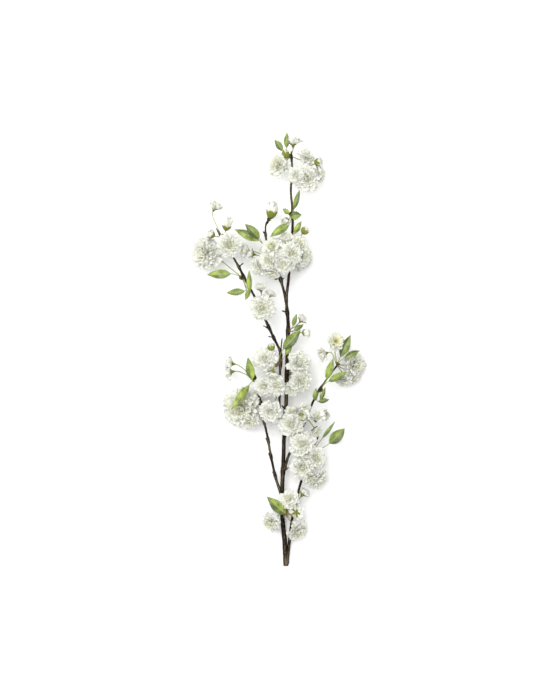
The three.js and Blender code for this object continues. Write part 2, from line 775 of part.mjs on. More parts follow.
function bud(collar, { at, face, radius, length }, extra) {
  const facing = vector(face).normalize();
  const foot = vector(at).addScaledVector(facing, -length / 2);
  const skin = new Skin();
  const { last, across, along } = stalk(skin, collar, foot, facing, extra);
  let ring = last;
  for (const [share, width] of budRings) {
    const centre = foot.clone().addScaledVector(facing, share * length);
    const wider = skin.ring(circle(centre, width * radius + extra, stubSides, across, along));
    skin.blend(ring, wider);
    ring = wider;
  }
  skin.peak(ring, foot.clone().addScaledVector(facing, length + extra));
  return skin.solid();
}

// directions across a blade and out of its upper face
function bladeAxes(tangent) {
  const across = tangent.clone().cross(upwards).normalize();
  return { across, over: across.clone().cross(tangent) };
}

// places of a blade's corners along its rib; every second one on its edge lies between two teeth
const bladePlaces = {
  broad: { ribPlaces: [0.3, 0.65, 1], edgePlaces: [0, 0.14, 0.34, 0.56, 0.78] },
  narrow: { ribPlaces: [0.5, 1], edgePlaces: [0, 0.25, 0.55, 0.8] },
};
const bladeTaper = 0.8; // below 1, a blade is broadest nearer its base

// A toothed blade on its petiole, arched along its rib and folded up a little on each side of it.
function leaf(collar, { base, tip, width, arch = leafArch }, extra) {
  const from = vector(base);
  const to = vector(tip);
  const middle = from.clone().lerp(to, 0.5).addScaledVector(upwards, 2 * arch);
  const rib = new THREE.QuadraticBezierCurve3(from, middle, to);
  const { ribPlaces, edgePlaces } = width >= broadLeaf ? bladePlaces.broad : bladePlaces.narrow;
  const corner = (place, side, level, share = 1) => {
    const { across, over } = bladeAxes(rib.getTangent(place));
    const outline = (width / 2) * Math.sin(Math.PI * place ** bladeTaper) * share;
    const half = Math.max(outline, petioleRadius) + extra;
    return rib
      .getPoint(place)
      .addScaledVector(across, side * half)
      .addScaledVector(over, side ** 2 * leafFold * half + level * (leafThick / 2 + extra));
  };
  const skin = new Skin();
  const [lower, upper] = [-1, 1].map((level) => {
    const spine = skin.ring(ribPlaces.map((place) => corner(place, 0, level)));
    const [left, right] = [-1, 1].map((side) =>
      skin.ring(edgePlaces.map((place, index) => corner(place, side, level, index % 2 ? notchShare : 1))),
    );
    skin.triangle(left[0], right[0], spine[0], level < 0);
    for (const [edge, side] of [[left, -1], [right, 1]]) {
      let [onRib, onEdge] = [0, 0];
      while (onRib < spine.length - 1 || onEdge < edge.length - 1) {
        const edgeFirst = onRib === spine.length - 1 || edgePlaces[onEdge + 1] <= ribPlaces[onRib + 1];
        const next = edgeFirst ? edge[onEdge + 1] : spine[onRib + 1];
        skin.triangle(spine[onRib], edge[onEdge], next, side * level < 0);
        onEdge += edgeFirst ? 1 : 0;
        onRib += edgeFirst ? 0 : 1;
      }
    }
    return [...right, spine[spine.length - 1], ...left.toReversed()];
  });
  for (let index = 0; index < lower.length - 1; index += 1) {
    skin.triangle(lower[index], lower[index + 1], upper[index + 1]);
    skin.triangle(lower[index], upper[index + 1], upper[index]);
  }
  const start = collar.clone().add(from.clone().sub(collar).setLength(collarRadius * collarDepth));
  const bend = from.clone().addScaledVector(rib.getTangent(0), -bendShare * from.distanceTo(start));
  const petiole = new THREE.QuadraticBezierCurve3(start, bend, from);
  const rings = [0, 0.5].map((place) => {
    const { across, over } = bladeAxes(petiole.getTangent(place));
    return skin.ring(
      [[1, -1], [-1, -1], [-1, 1], [1, 1]].map(([side, level]) =>
        petiole
          .getPoint(place)
          .addScaledVector(across, side * (petioleRadius + extra))
          .addScaledVector(over, level * (petioleRadius + extra)),
      ),
    );
  });
  skin.cap(rings[0], true);
  skin.band(rings[0], rings[1]);
  skin.band(rings[1], [lower[0], lower[lower.length - 1], upper[upper.length - 1], upper[0]]);
  return skin.solid();
}

function green({ collar, flowers, buds, leaves }, extra) {
  const middle = vector(collar);
  const limbPlace = nearestOnWood(middle);
  const outwards = middle.clone().sub(limbPlace.middle).normalize();
  const root = limbPlace.middle.addScaledVector(outwards, collarSeat * limbPlace.radius + gap);
  const outer = middle.clone().addScaledVector(outwards, collarRise);
  const widths = [1, collarTaper].map((share) => share * collarRadius + extra);
  const scales = tube(new THREE.LineCurve3(root, outer), widths, stubSides, 1);
  return [
    ...flowers.map((flower) => calyx(middle, flower, extra)),
    ...buds.map((entry) => bud(middle, entry, extra)),
    ...leaves.map((entry) => leaf(middle, entry, extra)),
  ].reduce((whole, solid) => whole.add(solid), scales);
}

// ---- assembly ----
const sprig = new THREE.Group();
sprig.name = "cherry_blossom_sprig";
sprig.position.set(-footprintMiddle[0], -footprintMiddle[1], 0);
const settled = []; // grown copies of the pieces already in place

// Cuts a piece clear of those in place and of the surface below, and adds it to the sprig.
function place(name, material, shape) {
  const grown = shape(gap);
  const clear = settled.reduce((whole, other) => whole.subtract(other), shape(0)).trimByPlane([0, 0, 1], 0);
  const [body] = clear.decompose().sort((a, b) => b.volume() - a.volume());
  settled.push(grown);
  const { vertProperties, triVerts } = body.getMesh();
  const geometry = new THREE.BufferGeometry();
  geometry.setAttribute("position", new THREE.BufferAttribute(vertProperties, 3));
  geometry.setIndex(new THREE.BufferAttribute(triVerts, 1));
  geometry.computeVertexNormals();
  const mesh = new THREE.Mesh(geometry, material);
  mesh.name = name;
  sprig.add(mesh);
}

place("wood", barkMaterial, wood);
for (const cluster of clusters) {
  place(`${cluster.name}_stalks`, greenMaterial.clone(), (extra) => green(cluster, extra));
}
for (const { name, flowers } of clusters) {
  for (const head of new Set(flowers.map((flower) => flower.name))) {
    place(`${name}_${head}`, petalMaterial.clone(), (extra) =>
      flowers
        .map((flower, index) => [flower, index])
        .filter(([flower]) => flower.name === head)
        .map(([flower, index]) => petals(flower, name.length * 10 + index, extra))
        .reduce((whole, solid) => whole.add(solid)),
    );
  }
}

export default sprig;
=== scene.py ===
import bpy
import math
import numpy as np
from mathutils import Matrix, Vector, noise


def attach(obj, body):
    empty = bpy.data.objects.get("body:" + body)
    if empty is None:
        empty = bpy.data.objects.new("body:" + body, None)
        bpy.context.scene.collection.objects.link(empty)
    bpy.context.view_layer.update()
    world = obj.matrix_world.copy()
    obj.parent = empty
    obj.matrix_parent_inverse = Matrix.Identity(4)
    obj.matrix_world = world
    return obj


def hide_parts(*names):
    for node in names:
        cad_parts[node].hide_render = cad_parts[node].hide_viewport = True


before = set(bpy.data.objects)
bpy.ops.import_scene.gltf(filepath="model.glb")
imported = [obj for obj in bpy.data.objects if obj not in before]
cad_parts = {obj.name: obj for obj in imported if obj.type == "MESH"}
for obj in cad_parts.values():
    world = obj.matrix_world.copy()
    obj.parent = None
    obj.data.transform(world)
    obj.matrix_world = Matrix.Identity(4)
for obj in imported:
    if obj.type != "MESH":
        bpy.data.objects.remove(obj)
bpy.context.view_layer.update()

# until a piece is made, lengths are in millimetres: x to the right, y from the cut end to the tips
mm = 0.001
fullTurn = 2 * math.pi
footprintMiddle = np.array([-15.2, 500, 0])
up = np.array([0.0, 0.0, 1.0])
lowest = 0.4  # nothing reaches nearer to the surface than this

# where the wood, flowers, buds and leaves are, as the solids have them
limbs = [
    # the leader
    {
        "radii": [6.0, 5.3, 4.7, 4.4, 4.3, 4.2, 3.4, 3.1, 2.7, 2.0],
        "route": [
            [0, 0, 4.4], [-3, 57, 11], [-8, 110, 18], [-9, 168, 24], [-6, 244, 31], [-4, 310, 36],
            [0, 375, 40], [2, 451, 45], [3, 508, 48], [5, 560, 51], [1, 616, 53], [6, 667, 54],
            [9, 720, 54], [15, 782, 54], [14, 830, 54], [11, 869, 54], [14, 905, 54], [12, 958, 54],
        ],
    },
    # a second stem that leaves the first at the cut end
    {
        "radii": [4.0, 3.2, 3.0, 2.8, 2.2],
        "route": [
            [2, 5, 5], [8, 57, 11], [14, 108, 18], [25, 156, 23], [36, 200, 27], [57, 258, 31],
            [73, 301, 33], [77, 322, 35],
        ],
    },
    # the low branch on the left
    {
        "radii": [3.4, 2.9, 2.7, 2.3, 1.7],
        "route": [
            [-8, 160, 23], [-22, 200, 28], [-34, 252, 33], [-44, 308, 37], [-54, 350, 41],
            [-60, 385, 44], [-67, 414, 46], [-72, 446, 48],
        ],
    },
    # the long branch that leans out to the left
    {
        "radii": [3.4, 2.7, 2.9, 2.9, 2.6, 2.3, 1.7],
        "route": [
            [-3, 300, 35], [-11, 335, 41], [-15, 386, 47], [-14, 444, 53], [-13, 495, 57],
            [-28, 529, 60], [-46, 568, 61], [-66, 612, 60], [-92, 660, 58], [-110, 695, 57],
            [-129, 727, 56], [-161, 782, 54],
        ],
    },
    # the branch on the right
    {
        "radii": [3.3, 2.8, 2.8, 2.4, 1.6],
        "route": [
            [-4, 226, 30], [7, 260, 35], [23, 292, 39], [39, 329, 43], [53, 361, 46], [68, 394, 48],
            [92, 432, 50], [117, 465, 50],
        ],
    },
    # the left arm of the fork
    {
        "radii": [3.2, 2.6, 2.2, 1.7],
        "route": [
            [1, 612, 53], [-8, 648, 56], [-19, 680, 57], [-31, 694, 57], [-40, 725, 56], [-47, 768, 55],
            [-46, 789, 55], [-40, 799, 55],
        ],
    },
]
# short dead spurs and bud scars: foot, end, radius
spurs = [
    ((-13, 490, 57), (-9, 528, 64), 1.8),
    ((1, 588, 52), (-10, 592, 53), 1.8),
    ((-1, 362, 39), (-11, 376, 43), 1.6),
    ((1, 433, 44), (-8, 440, 45), 1.6),
    ((-4, 222, 29), (7, 231, 32), 1.8),
    ((-58, 378, 43), (-70, 387, 45), 1.5),
    ((-42, 552, 61), (-52, 557, 62), 1.4),
    ((-28, 529, 60), (-41, 533, 62), 1.4),
    ((-15, 666, 57), (-27, 663, 58), 1.4),
    ((-35, 255, 33), (-41, 264, 36), 2.2),
    ((-24, 212, 29), (-32, 220, 31), 2.2),
    ((40, 328, 43), (48, 340, 45), 2.0),
    ((-131, 727, 56), (-122, 741, 56), 1.6),
    ((-108, 692, 57), (-98, 701, 59), 1.7),
    ((-13, 661, 57), (-4, 667, 58), 1.5),
    ((-47, 766, 55), (-54, 775, 57), 1.5),
    ((-42, 292, 36), (-48, 299, 38), 1.6),
    ((-50, 335, 40), (-56, 342, 42), 1.5),
    ((55, 254, 31), (62, 262, 33), 1.5),
]
# flowers: name, kind, middle, facing, radius; buds: middle, facing, radius, length, white share;
# leaves: foot of the blade, tip, width, arch
clusters = [
    {
        "name": "crown",
        "collar": (17, 908, 58),
        "flowers": [
            ("left", "full", (-21, 925, 74), (-0.35, 0.1, 0.93), 26),
            ("head", "full", (48, 892, 76), (0.15, -0.15, 0.97), 29),
            ("head", "small", (22, 899, 86), (-0.1, -0.25, 0.96), 18),
            ("head", "small", (80, 906, 62), (0.93, 0.1, 0.3), 20),
        ],
        "buds": [((75, 931, 74), (0.75, 0.3, 0.4), 9, 22, 0.36)],
        "leaves": [],
    },
    {
        "name": "summit",
        "collar": (11, 946, 58),
        "flowers": [
            ("top", "half", (17, 981, 62), (0.05, 0.97, 0.2), 19),
            ("high", "small", (49, 946, 62), (0.6, 0.45, 0.65), 20),
        ],
        "buds": [((-1, 950, 74), (-0.05, 0.95, 0.3), 8, 26, 0.12)],
        "leaves": [((1, 964, 64), (2, 1000, 66), 13, 4), ((-8, 958, 60), (-26, 985, 56), 15, 4)],
    },
    {
        "name": "wing",
        "collar": (-148, 762, 60),
        "flowers": [
            ("open", "full", (-130, 740, 84), (0.1, -0.1, 0.99), 26),
            ("cup", "half", (-162, 832, 64), (0.35, 0.85, 0.4), 17),
        ],
        "buds": [
            ((-135, 790, 66), (0.2, 0.95, 0.2), 10, 32, 0.8),
            ((-172, 766, 66), (-0.85, 0.35, 0.4), 8.5, 20, 0.5),
        ],
        "leaves": [],
    },
    {
        "name": "wing_low",
        "collar": (-101, 668, 62),
        "flowers": [("puff", "puff", (-184, 723, 52), (-0.62, -0.05, 0.78), 34)],
        "buds": [],
        "leaves": [
            ((-127, 676, 68), (-181, 674, 58), 21, 4),
            ((-95, 636, 66), (-137, 632, 58), 16, 4),
            ((-84, 632, 70), (-84, 684, 76), 12, 4),
            ((-84, 640, 62), (-93, 616, 64), 11, 4),
        ],
    },
    {
        "name": "ball_left",
        "collar": (-45, 716, 56),
        "flowers": [
            ("head", "small", (-65, 690, 76), (-0.6, -0.45, 0.66), 21),
            ("head", "small", (-42, 704, 94), (-0.3, -0.15, 0.94), 21),
            ("head", "small", (-33, 736, 96), (-0.2, 0.3, 0.93), 23),
            ("head", "small", (-31, 675, 80), (-0.1, -0.85, 0.5), 18),
            ("under", "small", (-36, 724, 10.3), (-0.3, 0.1, -0.95), 26),
            ("cups", "half", (-94, 730, 60), (-0.95, 0.1, 0.3), 16),
            ("cups", "half", (-82, 722, 71), (-0.9, 0.2, 0.35), 14),
        ],
        "buds": [],
        "leaves": [
            ((-62, 752, 72), (-118, 778, 64), 20, 4),
            ((-61, 756, 78), (-93, 789, 82), 21, 4),
        ],
    },
    {
        "name": "ball_right",
        "collar": (19, 730, 56),
        "flowers": [
            ("head", "small", (2, 752, 86), (0, 0.6, 0.8), 21),
            ("head", "small", (30, 744, 88), (0.4, 0.4, 0.8), 21),
            ("head", "full", (40, 717, 77), (0.75, -0.1, 0.65), 25),
            ("head", "full", (-5, 697, 95), (-0.05, -0.45, 0.89), 24),
            ("head", "full", (13, 722, 106), (0.1, 0, 0.99), 24),
            ("under", "small", (34, 712, 10.3), (0.3, -0.15, -0.95), 26),
        ],
        "buds": [((44, 775, 76), (0.6, 0.7, 0.3), 9, 22, 0.26)],
        "leaves": [((19, 768, 66), (35, 796, 68), 13, 4)],
    },
    {
        "name": "fork_bud",
        "collar": (-42, 797, 57),
        "flowers": [],
        "buds": [((-32, 822, 60), (0.2, 0.95, 0.2), 12, 42, 0.62)],
        "leaves": [],
    },
    {
        "name": "neck",
        "collar": (13, 812, 58),
        "flowers": [],
        "buds": [((-1, 796, 72), (-0.6, -0.3, 0.7), 7.5, 17, 0.85)],
        "leaves": [
            ((18, 824, 62), (31, 868, 66), 12, 4),
            ((7, 813, 64), (-7, 825, 66), 11, 4),
            ((10, 806, 72), (35, 811, 74), 19, 4),
            ((6, 787, 74), (-36, 758, 104), 19, 14),
        ],
    },
    {
        "name": "pendant",
        "collar": (-60, 602, 66),
        "flowers": [
            ("open", "full", (-55, 597, 92), (0, -0.1, 0.99), 28),
            ("cup_left", "half", (-58, 646, 76), (-0.1, 0.9, 0.4), 15),
            ("cup_right", "half", (-35, 631, 72), (0.45, 0.85, 0.3), 12),
        ],
        "buds": [],
        "leaves": [],
    },
    {
        "name": "twin",
        "collar": (5, 545, 56),
        "flowers": [("cup", "half", (38, 573, 66), (0.6, 0.7, 0.4), 13)],
        "buds": [((46, 541, 60), (0.9, 0, 0.2), 8, 19, 0.9)],
        "leaves": [((16, 556, 64), (24, 584, 70), 10, 4), ((18, 546, 62), (40, 560, 56), 11, 4)],
    },
    {
        "name": "inner_high",
        "collar": (-18, 470, 58),
        "flowers": [
            ("open", "full", (-49, 482, 74), (-0.2, 0.1, 0.97), 26),
            ("nodding", "half", (-32, 447, 88), (-0.25, -0.9, 0.1), 14),
        ],
        "buds": [((-34, 509, 76), (-0.1, 0.95, 0.3), 8, 20, 0.18)],
        "leaves": [((-6, 504, 70), (33, 547, 72), 24, 4), ((0, 490, 64), (14, 514, 64), 10, 4)],
    },
    {
        "name": "inner_low",
        "collar": (-18, 402, 50),
        "flowers": [
            ("pair", "full", (-51, 418, 70), (-0.3, -0.1, 0.95), 23),
            ("pair", "small", (-22, 421, 78), (0.2, 0.1, 0.97), 22),
            ("low", "full", (-35, 359, 72), (-0.1, -0.3, 0.95), 25),
        ],
        "buds": [],
        "leaves": [],
    },
    {
        "name": "puff",
        "collar": (-66, 384, 43),
        "flowers": [
            ("head", "puff", (-101, 368, 36), (-0.25, -0.05, 0.97), 42),
            ("head", "small", (-82, 338, 52), (0.15, -0.5, 0.85), 22),
        ],
        "buds": [],
        "leaves": [],
    },
    {
        "name": "puff_leaves",
        "collar": (-71, 434, 51),
        "flowers": [
            ("cups", "half", (-131, 471, 58), (-0.95, 0.15, 0.2), 16),
            ("cups", "half", (-133, 450, 54), (-0.95, -0.15, 0.1), 16),
        ],
        "buds": [],
        "leaves": [
            ((-78, 433, 62), (-87, 485, 72), 20, 4),
            ((-85, 421, 64), (-124, 366, 92), 18, 14),
        ],
    },
    {
        "name": "middle",
        "collar": (6, 450, 49),
        "flowers": [
            ("head", "full", (31, 472, 72), (0.3, 0.15, 0.93), 27),
            ("head", "full", (36, 430, 72), (0.35, -0.2, 0.9), 25),
            ("head", "small", (13, 410, 66), (-0.1, -0.4, 0.9), 17),
        ],
        "buds": [],
        "leaves": [],
    },
    {
        "name": "tip",
        "collar": (117, 467, 52),
        "flowers": [
            ("high", "small", (115, 522, 70), (0.3, 0.15, 0.94), 21),
            ("left", "half", (83, 491, 68), (-0.85, -0.3, 0.4), 17),
            ("head", "full", (162, 466, 23), (0.65, 0, 0.75), 29),
            ("head", "small", (160, 436, 24), (0.6, -0.6, 0.5), 18),
            ("head", "small", (136, 427, 38), (0.1, -0.85, 0.5), 18),
        ],
        "buds": [],
        "leaves": [
            ((125, 486, 62), (148, 536, 64), 21, 4),
            ((136, 485, 58), (170, 500, 52), 14, 4),
        ],
    },
    {
        "name": "right_leaves",
        "collar": (79, 412, 50.5),
        "flowers": [],
        "buds": [],
        "leaves": [
            ((93, 434, 60), (108, 482, 64), 17, 4),
            ((98, 430, 60), (140, 452, 72), 16, 4),
            ((74, 383, 58), (99, 388, 54), 11, 4),
            ((80, 387, 60), (90, 416, 58), 9, 4),
            ((66, 386, 58), (69, 414, 60), 12, 4),
        ],
    },
    {
        "name": "centre",
        "collar": (0, 342, 42),
        "flowers": [
            ("head", "full", (12, 331, 66), (0, -0.05, 1), 27),
            ("head", "small", (14, 362, 60), (0.1, 0.75, 0.6), 16),
        ],
        "buds": [],
        "leaves": [],
    },
    {
        "name": "scatter",
        "collar": (48, 345, 50),
        "flowers": [
            ("pair", "small", (42, 373, 65), (-0.1, 0.8, 0.55), 14),
            ("pair", "ball", (39, 354, 72), (-0.3, 0.1, 0.9), 13),
            ("far_pair", "half", (69, 349, 64), (0.3, 0.4, 0.8), 15),
            ("far_pair", "ball", (87, 352, 60), (0.8, 0.2, 0.5), 11),
            ("low_cup", "half", (70, 315, 64), (0.4, -0.6, 0.6), 14),
        ],
        "buds": [],
        "leaves": [],
    },
    {
        "name": "low_right",
        "collar": (60, 266, 36),
        "flowers": [
            ("head", "full", (37, 286, 70), (-0.1, 0.2, 0.97), 29),
            ("head", "full", (37, 231, 63), (-0.1, -0.3, 0.95), 27),
            ("head", "full", (69, 255, 66), (0.4, 0.1, 0.9), 25),
            ("head", "full", (78, 202, 48), (0.7, -0.6, 0.4), 25),
            ("head", "small", (57, 206, 56), (0.1, -0.7, 0.7), 20),
        ],
        "buds": [],
        "leaves": [((100, 286, 42), (136, 321, 40), 26, 4), ((84, 298, 40), (113, 337, 42), 8, 4)],
    },
    {
        "name": "foot",
        "collar": (-2, 128, 30),
        "flowers": [
            ("cup", "half", (42, 174, 42), (0.55, 0.8, 0.2), 14),
            ("open", "small", (6, 159, 50), (-0.2, 0.2, 0.96), 21),
            ("left", "small", (-37, 101, 34), (-0.5, -0.55, 0.65), 22),
            ("right", "full", (29, 81, 34), (0.55, -0.5, 0.65), 24),
            ("nodding", "small", (27, 130, 38), (0.5, 0.4, -0.75), 19),
        ],
        "buds": [],
        "leaves": [((0, 122, 36), (-44, 164, 44), 25, 4)],
    },
]


def unit(values):
    return np.asarray(values, float) / np.linalg.norm(values)


# what a piece is made of; tone and heart are values at its points that the finishes read
def newShape():
    return {
        "points": [], "uv": [], "tone": [], "heart": [],
        "quads": [], "quadFinish": [], "tris": [], "triFinish": [],
        "count": 0,
    }


# a grid of points becomes quads; wrapped joins its last column to its first
def addGrid(shape, points, uv, tone, heart, finish, wrapped=False, turned=False):
    rows, columns = points.shape[:2]
    first = shape["count"]
    index = np.arange(rows * columns).reshape(rows, columns) + first
    right = np.roll(index, -1, axis=1)
    if not wrapped:
        index, right = index[:, :-1], right[:, :-1]
    quads = np.stack([index[:-1], right[:-1], right[1:], index[1:]], -1).reshape(-1, 4)
    if turned:
        quads = quads[:, ::-1]
    shape["points"].append(points.reshape(-1, 3))
    shape["uv"].append(np.broadcast_to(uv, (rows, columns, 2)).reshape(-1, 2))
    for name, value in (("tone", tone), ("heart", heart)):
        shape[name].append(np.broadcast_to(value, (rows, columns)).reshape(-1))
    shape["quads"].append(quads)
    shape["quadFinish"].append(np.full(len(quads), finish))
    shape["count"] += rows * columns
    return first


# closes the ring that starts at a point with a fan
def addCap(shape, first, columns, centre, uv, tone, heart, finish, turned=False):
    ring = np.arange(columns) + first
    middle = np.full(columns, shape["count"])
    tris = np.stack([ring, np.roll(ring, -1), middle], -1)
    if turned:
        tris = tris[:, ::-1]
    shape["points"].append(np.asarray(centre, float).reshape(1, 3))
    shape["uv"].append(np.asarray(uv, float).reshape(1, 2))
    shape["tone"].append(np.array([tone], float))
    shape["heart"].append(np.array([heart], float))
    shape["tris"].append(tris)
    shape["triFinish"].append(np.full(columns, finish))
    shape["count"] += 1


# a thin closed blade: both faces of a grid and the rim between them
def addBlade(shape, points, uv, tone, heart, finish, thick):
    rows, columns = points.shape[:2]
    across = np.gradient(points, axis=1)
    along = np.gradient(points, axis=0)
    out = np.cross(across, along)
    out /= np.maximum(np.linalg.norm(out, axis=2, keepdims=True), 1e-9)
    top = addGrid(shape, points + out * thick / 2, uv, tone, heart, finish)
    bottom = addGrid(shape, points - out * thick / 2, uv, tone, heart, finish, turned=True)
    grid = np.arange(rows * columns).reshape(rows, columns)
    edge = np.concatenate([grid[0, :-1], grid[:-1, -1], grid[-1, :0:-1], grid[:0:-1, 0]])
    after = np.roll(edge, -1)
    shape["quads"].append(np.stack([bottom + edge, bottom + after, top + after, top + edge], -1))
    shape["quadFinish"].append(np.full(len(edge), finish))


# directions round a line at each of its points, carried along it without twisting
def ringsAlong(points, columns):
    tangents = np.gradient(points, axis=0)
    tangents /= np.linalg.norm(tangents, axis=1, keepdims=True)
    side = np.cross(tangents[0], up if abs(tangents[0][2]) < 0.9 else [1, 0, 0])
    sides = []
    for tangent in tangents:
        side = unit(side - tangent * (side @ tangent))
        sides.append(side)
    fronts = np.cross(tangents, sides)
    angle = np.arange(columns) * fullTurn / columns
    return (np.cos(angle)[:, None] * np.array(sides)[:, None]
            + np.sin(angle)[:, None] * fronts[:, None])


# a round skin along a line; radii has one row for each ring, and may differ round it
def addTube(shape, points, radii, columns, tone, heart, finish, closed=(True, True)):
    rows = len(points)
    radii = np.broadcast_to(np.asarray(radii, float).reshape(rows, -1), (rows, columns))
    skin = points[:, None] + ringsAlong(points, columns) * radii[..., None]
    uv = np.stack(np.meshgrid(np.arange(columns) / columns, np.linspace(0, 1, rows)), -1)
    first = addGrid(shape, skin, uv, tone, heart, finish, wrapped=True)
    toneEnds = np.broadcast_to(tone, (rows, columns))
    heartEnds = np.broadcast_to(heart, (rows, columns))
    for wanted, row, turned in zip(closed, (0, rows - 1), (True, False)):
        if wanted:
            addCap(shape, first + row * columns, columns, points[row], (0.5, 0),
                   toneEnds[row, 0], heartEnds[row, 0], finish, turned)


def makeMesh(name, shape):
    points = np.concatenate(shape["points"])
    points[:, 2] = np.maximum(points[:, 2], lowest)
    points = (points - footprintMiddle) * mm
    quads = np.concatenate(shape["quads"])
    tris = np.concatenate(shape["tris"]) if shape["tris"] else np.zeros((0, 3), int)
    corners = np.concatenate([quads.ravel(), tris.ravel()]).astype(np.int32)
    starts = np.concatenate([np.arange(len(quads)) * 4, len(quads) * 4 + np.arange(len(tris)) * 3])
    marks = np.concatenate(shape["quadFinish"] + shape["triFinish"]).astype(np.int32)
    mesh = bpy.data.meshes.new(name)
    mesh.vertices.add(len(points))
    mesh.vertices.foreach_set("co", points.astype(np.float32).ravel())
    mesh.loops.add(len(corners))
    mesh.loops.foreach_set("vertex_index", corners)
    mesh.polygons.add(len(starts))
    mesh.polygons.foreach_set("loop_start", starts.astype(np.int32))
    mesh.polygons.foreach_set("material_index", marks)
    mesh.update(calc_edges=True)
    uvLayer = mesh.uv_layers.new(name="blade")
    uvLayer.data.foreach_set("uv", np.concatenate(shape["uv"])[corners].astype(np.float32).ravel())
    for label in ("tone", "heart"):
        layer = mesh.attributes.new(label, "FLOAT", "POINT")
        layer.data.foreach_set("value", np.concatenate(shape[label]).astype(np.float32))
    mesh.polygons.foreach_set("use_smooth", np.ones(len(starts), bool))
    return mesh


triangleCounts = {}


def makePiece(name, shape, finishes, nodes):
    mesh = makeMesh(name, shape)
    for finish in finishes:
        mesh.materials.append(finish)
    mesh.validate()
    piece = bpy.data.objects.new(name, mesh)
    bpy.context.scene.collection.objects.link(piece)
    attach(piece, "root")
    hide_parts(*nodes)
    triangleCounts[name] = len(mesh.loops) - 2 * len(mesh.polygons)


# a smooth curve through its points
def smoothPath(points, perSpan=24):
    points = np.asarray(points, float)
    ends = np.vstack([2 * points[0] - points[1], points, 2 * points[-1] - points[-2]])
    samples = []
    for p0, p1, p2, p3 in zip(ends, ends[1:], ends[2:], ends[3:]):
        d0, d1, d2 = (np.linalg.norm(b - a) ** 0.5 for a, b in ((p0, p1), (p1, p2), (p2, p3)))
        leave = ((p1 - p0) / d0 - (p2 - p0) / (d0 + d1) + (p2 - p1) / d1) * d1
        arrive = ((p2 - p1) / d1 - (p3 - p1) / (d1 + d2) + (p3 - p2) / d2) * d1
        t = np.arange(perSpan)[:, None] / perSpan
        samples.append(
            p1 + leave * t + (3 * (p2 - p1) - 2 * leave - arrive) * t**2
            + (2 * (p1 - p2) + leave + arrive) * t**3
        )
    line = np.vstack([*samples, points[-1:]])
    run = np.concatenate([[0], np.cumsum(np.linalg.norm(np.diff(line, axis=0), axis=1))])
    return {"line": line, "shares": run / run[-1], "length": run[-1]}


def alongPath(path, shares):
    return np.stack([np.interp(shares, path["shares"], path["line"][:, axis]) for axis in range(3)], -1)


# a curve that its control points pull, from the first to the last
def pulledLine(*controls, count):
    t = np.linspace(0, 1, count)[:, None]
    degree = len(controls) - 1
    terms = [math.comb(degree, k) * t**k * (1 - t) ** (degree - k) * np.asarray(control, float)
             for k, control in enumerate(controls)]
    return sum(terms)


# columns: two directions across a facing and the facing itself
def facingAxes(face):
    facing = Vector(tuple(unit(face)))
    return np.array(Vector((0, 0, 1)).rotation_difference(facing).to_matrix())


# how far out and how far up a blade runs that follows these tilts
def bladeRun(tilts, length):
    steps = len(tilts) - 1
    return [np.concatenate([[0], np.cumsum(way(tilts[:-1]))]) * length / steps for way in (np.cos, np.sin)]


# rows along a blade from 0 to 1, columns across it from -1 to 1, and where its veins are drawn
def bladeGrid(rows, columns):
    v = np.linspace(0, 1, rows)[:, None]
    u = np.linspace(-1, 1, columns)[None, :]
    return u, v, np.stack(np.broadcast_arrays((u + 1) / 2, v), -1)


# a blade's distances out, aside and up become points round the middle of what it grows on
def turnedBlade(azimuth, out, aside, height):
    c, s = math.cos(azimuth), math.sin(azimuth)
    return np.stack(np.broadcast_arrays(c * out - s * aside, s * out + c * aside, height), -1)


def newFinish(name, roughness, glow=0.0, sheen=0.0, gloss=0.2):
    finish = bpy.data.materials.new(name)
    finish.use_nodes = True
    shader = finish.node_tree.nodes["Principled BSDF"]
    shader.inputs["Roughness"].default_value = roughness
    shader.inputs["Subsurface Weight"].default_value = glow
    shader.inputs["Subsurface Radius"].default_value = (0.6, 0.7, 0.4)  # green passes tissue best
    shader.inputs["Subsurface Scale"].default_value = 0.002
    shader.inputs["Sheen Weight"].default_value = sheen
    shader.inputs["Specular IOR Level"].default_value = gloss
    return finish, finish.node_tree, shader


def node(tree, kind, links=(), **values):
    made = tree.nodes.new(kind)
    for name, value in values.items():
        if name in made.inputs:
            made.inputs[name].default_value = value
        else:
            setattr(made, name, value)
    for name, source in links:
        tree.links.new(source, made.inputs[name])
    return made


# puts numbers, colours or other nodes' outputs into a node's sockets
def feed(tree, sockets, values):
    for socket, value in zip(sockets, values):
        if isinstance(value, (int, float)):
            socket.default_value = value
        elif isinstance(value, tuple):
            socket.default_value = (*value, 1)
        else:
            tree.links.new(value, socket)


def maths(tree, operation, *values):
    made = node(tree, "ShaderNodeMath", operation=operation)
    feed(tree, made.inputs, values)
    return made.outputs[0]


def blend(tree, kind, share, first, second):
    made = node(tree, "ShaderNodeMix", data_type="RGBA", blend_type=kind)
    feed(tree, (made.inputs[0], made.inputs[6], made.inputs[7]), (share, first, second))
    return made.outputs[2]


def ramp(tree, source, *stops):
    made = node(tree, "ShaderNodeValToRGB", [("Fac", source)])
    colours = made.color_ramp.elements
    while len(colours) < len(stops):
        colours.new(0.5)
    for element, (place, colour) in zip(colours, stops):
        element.position = place
        element.color = (*colour, 1)
    return made.outputs["Color"]


# tints a colour by a detail: one tint where the detail is low and another where it is high
def tinted(tree, colour, detail, low, high):
    return blend(tree, "MULTIPLY", 1.0, colour, ramp(tree, detail, low, high))


# gives a shader its colour and its fine relief
def dress(tree, shader, colour, relief, strength, height):
    tree.links.new(colour, shader.inputs["Base Color"])
    made = node(tree, "ShaderNodeBump", [("Height", relief)], Strength=strength, Distance=height)
    tree.links.new(made.outputs["Normal"], shader.inputs["Normal"])


def attribute(tree, name):
    return node(tree, "ShaderNodeAttribute", attribute_name=name).outputs["Fac"]


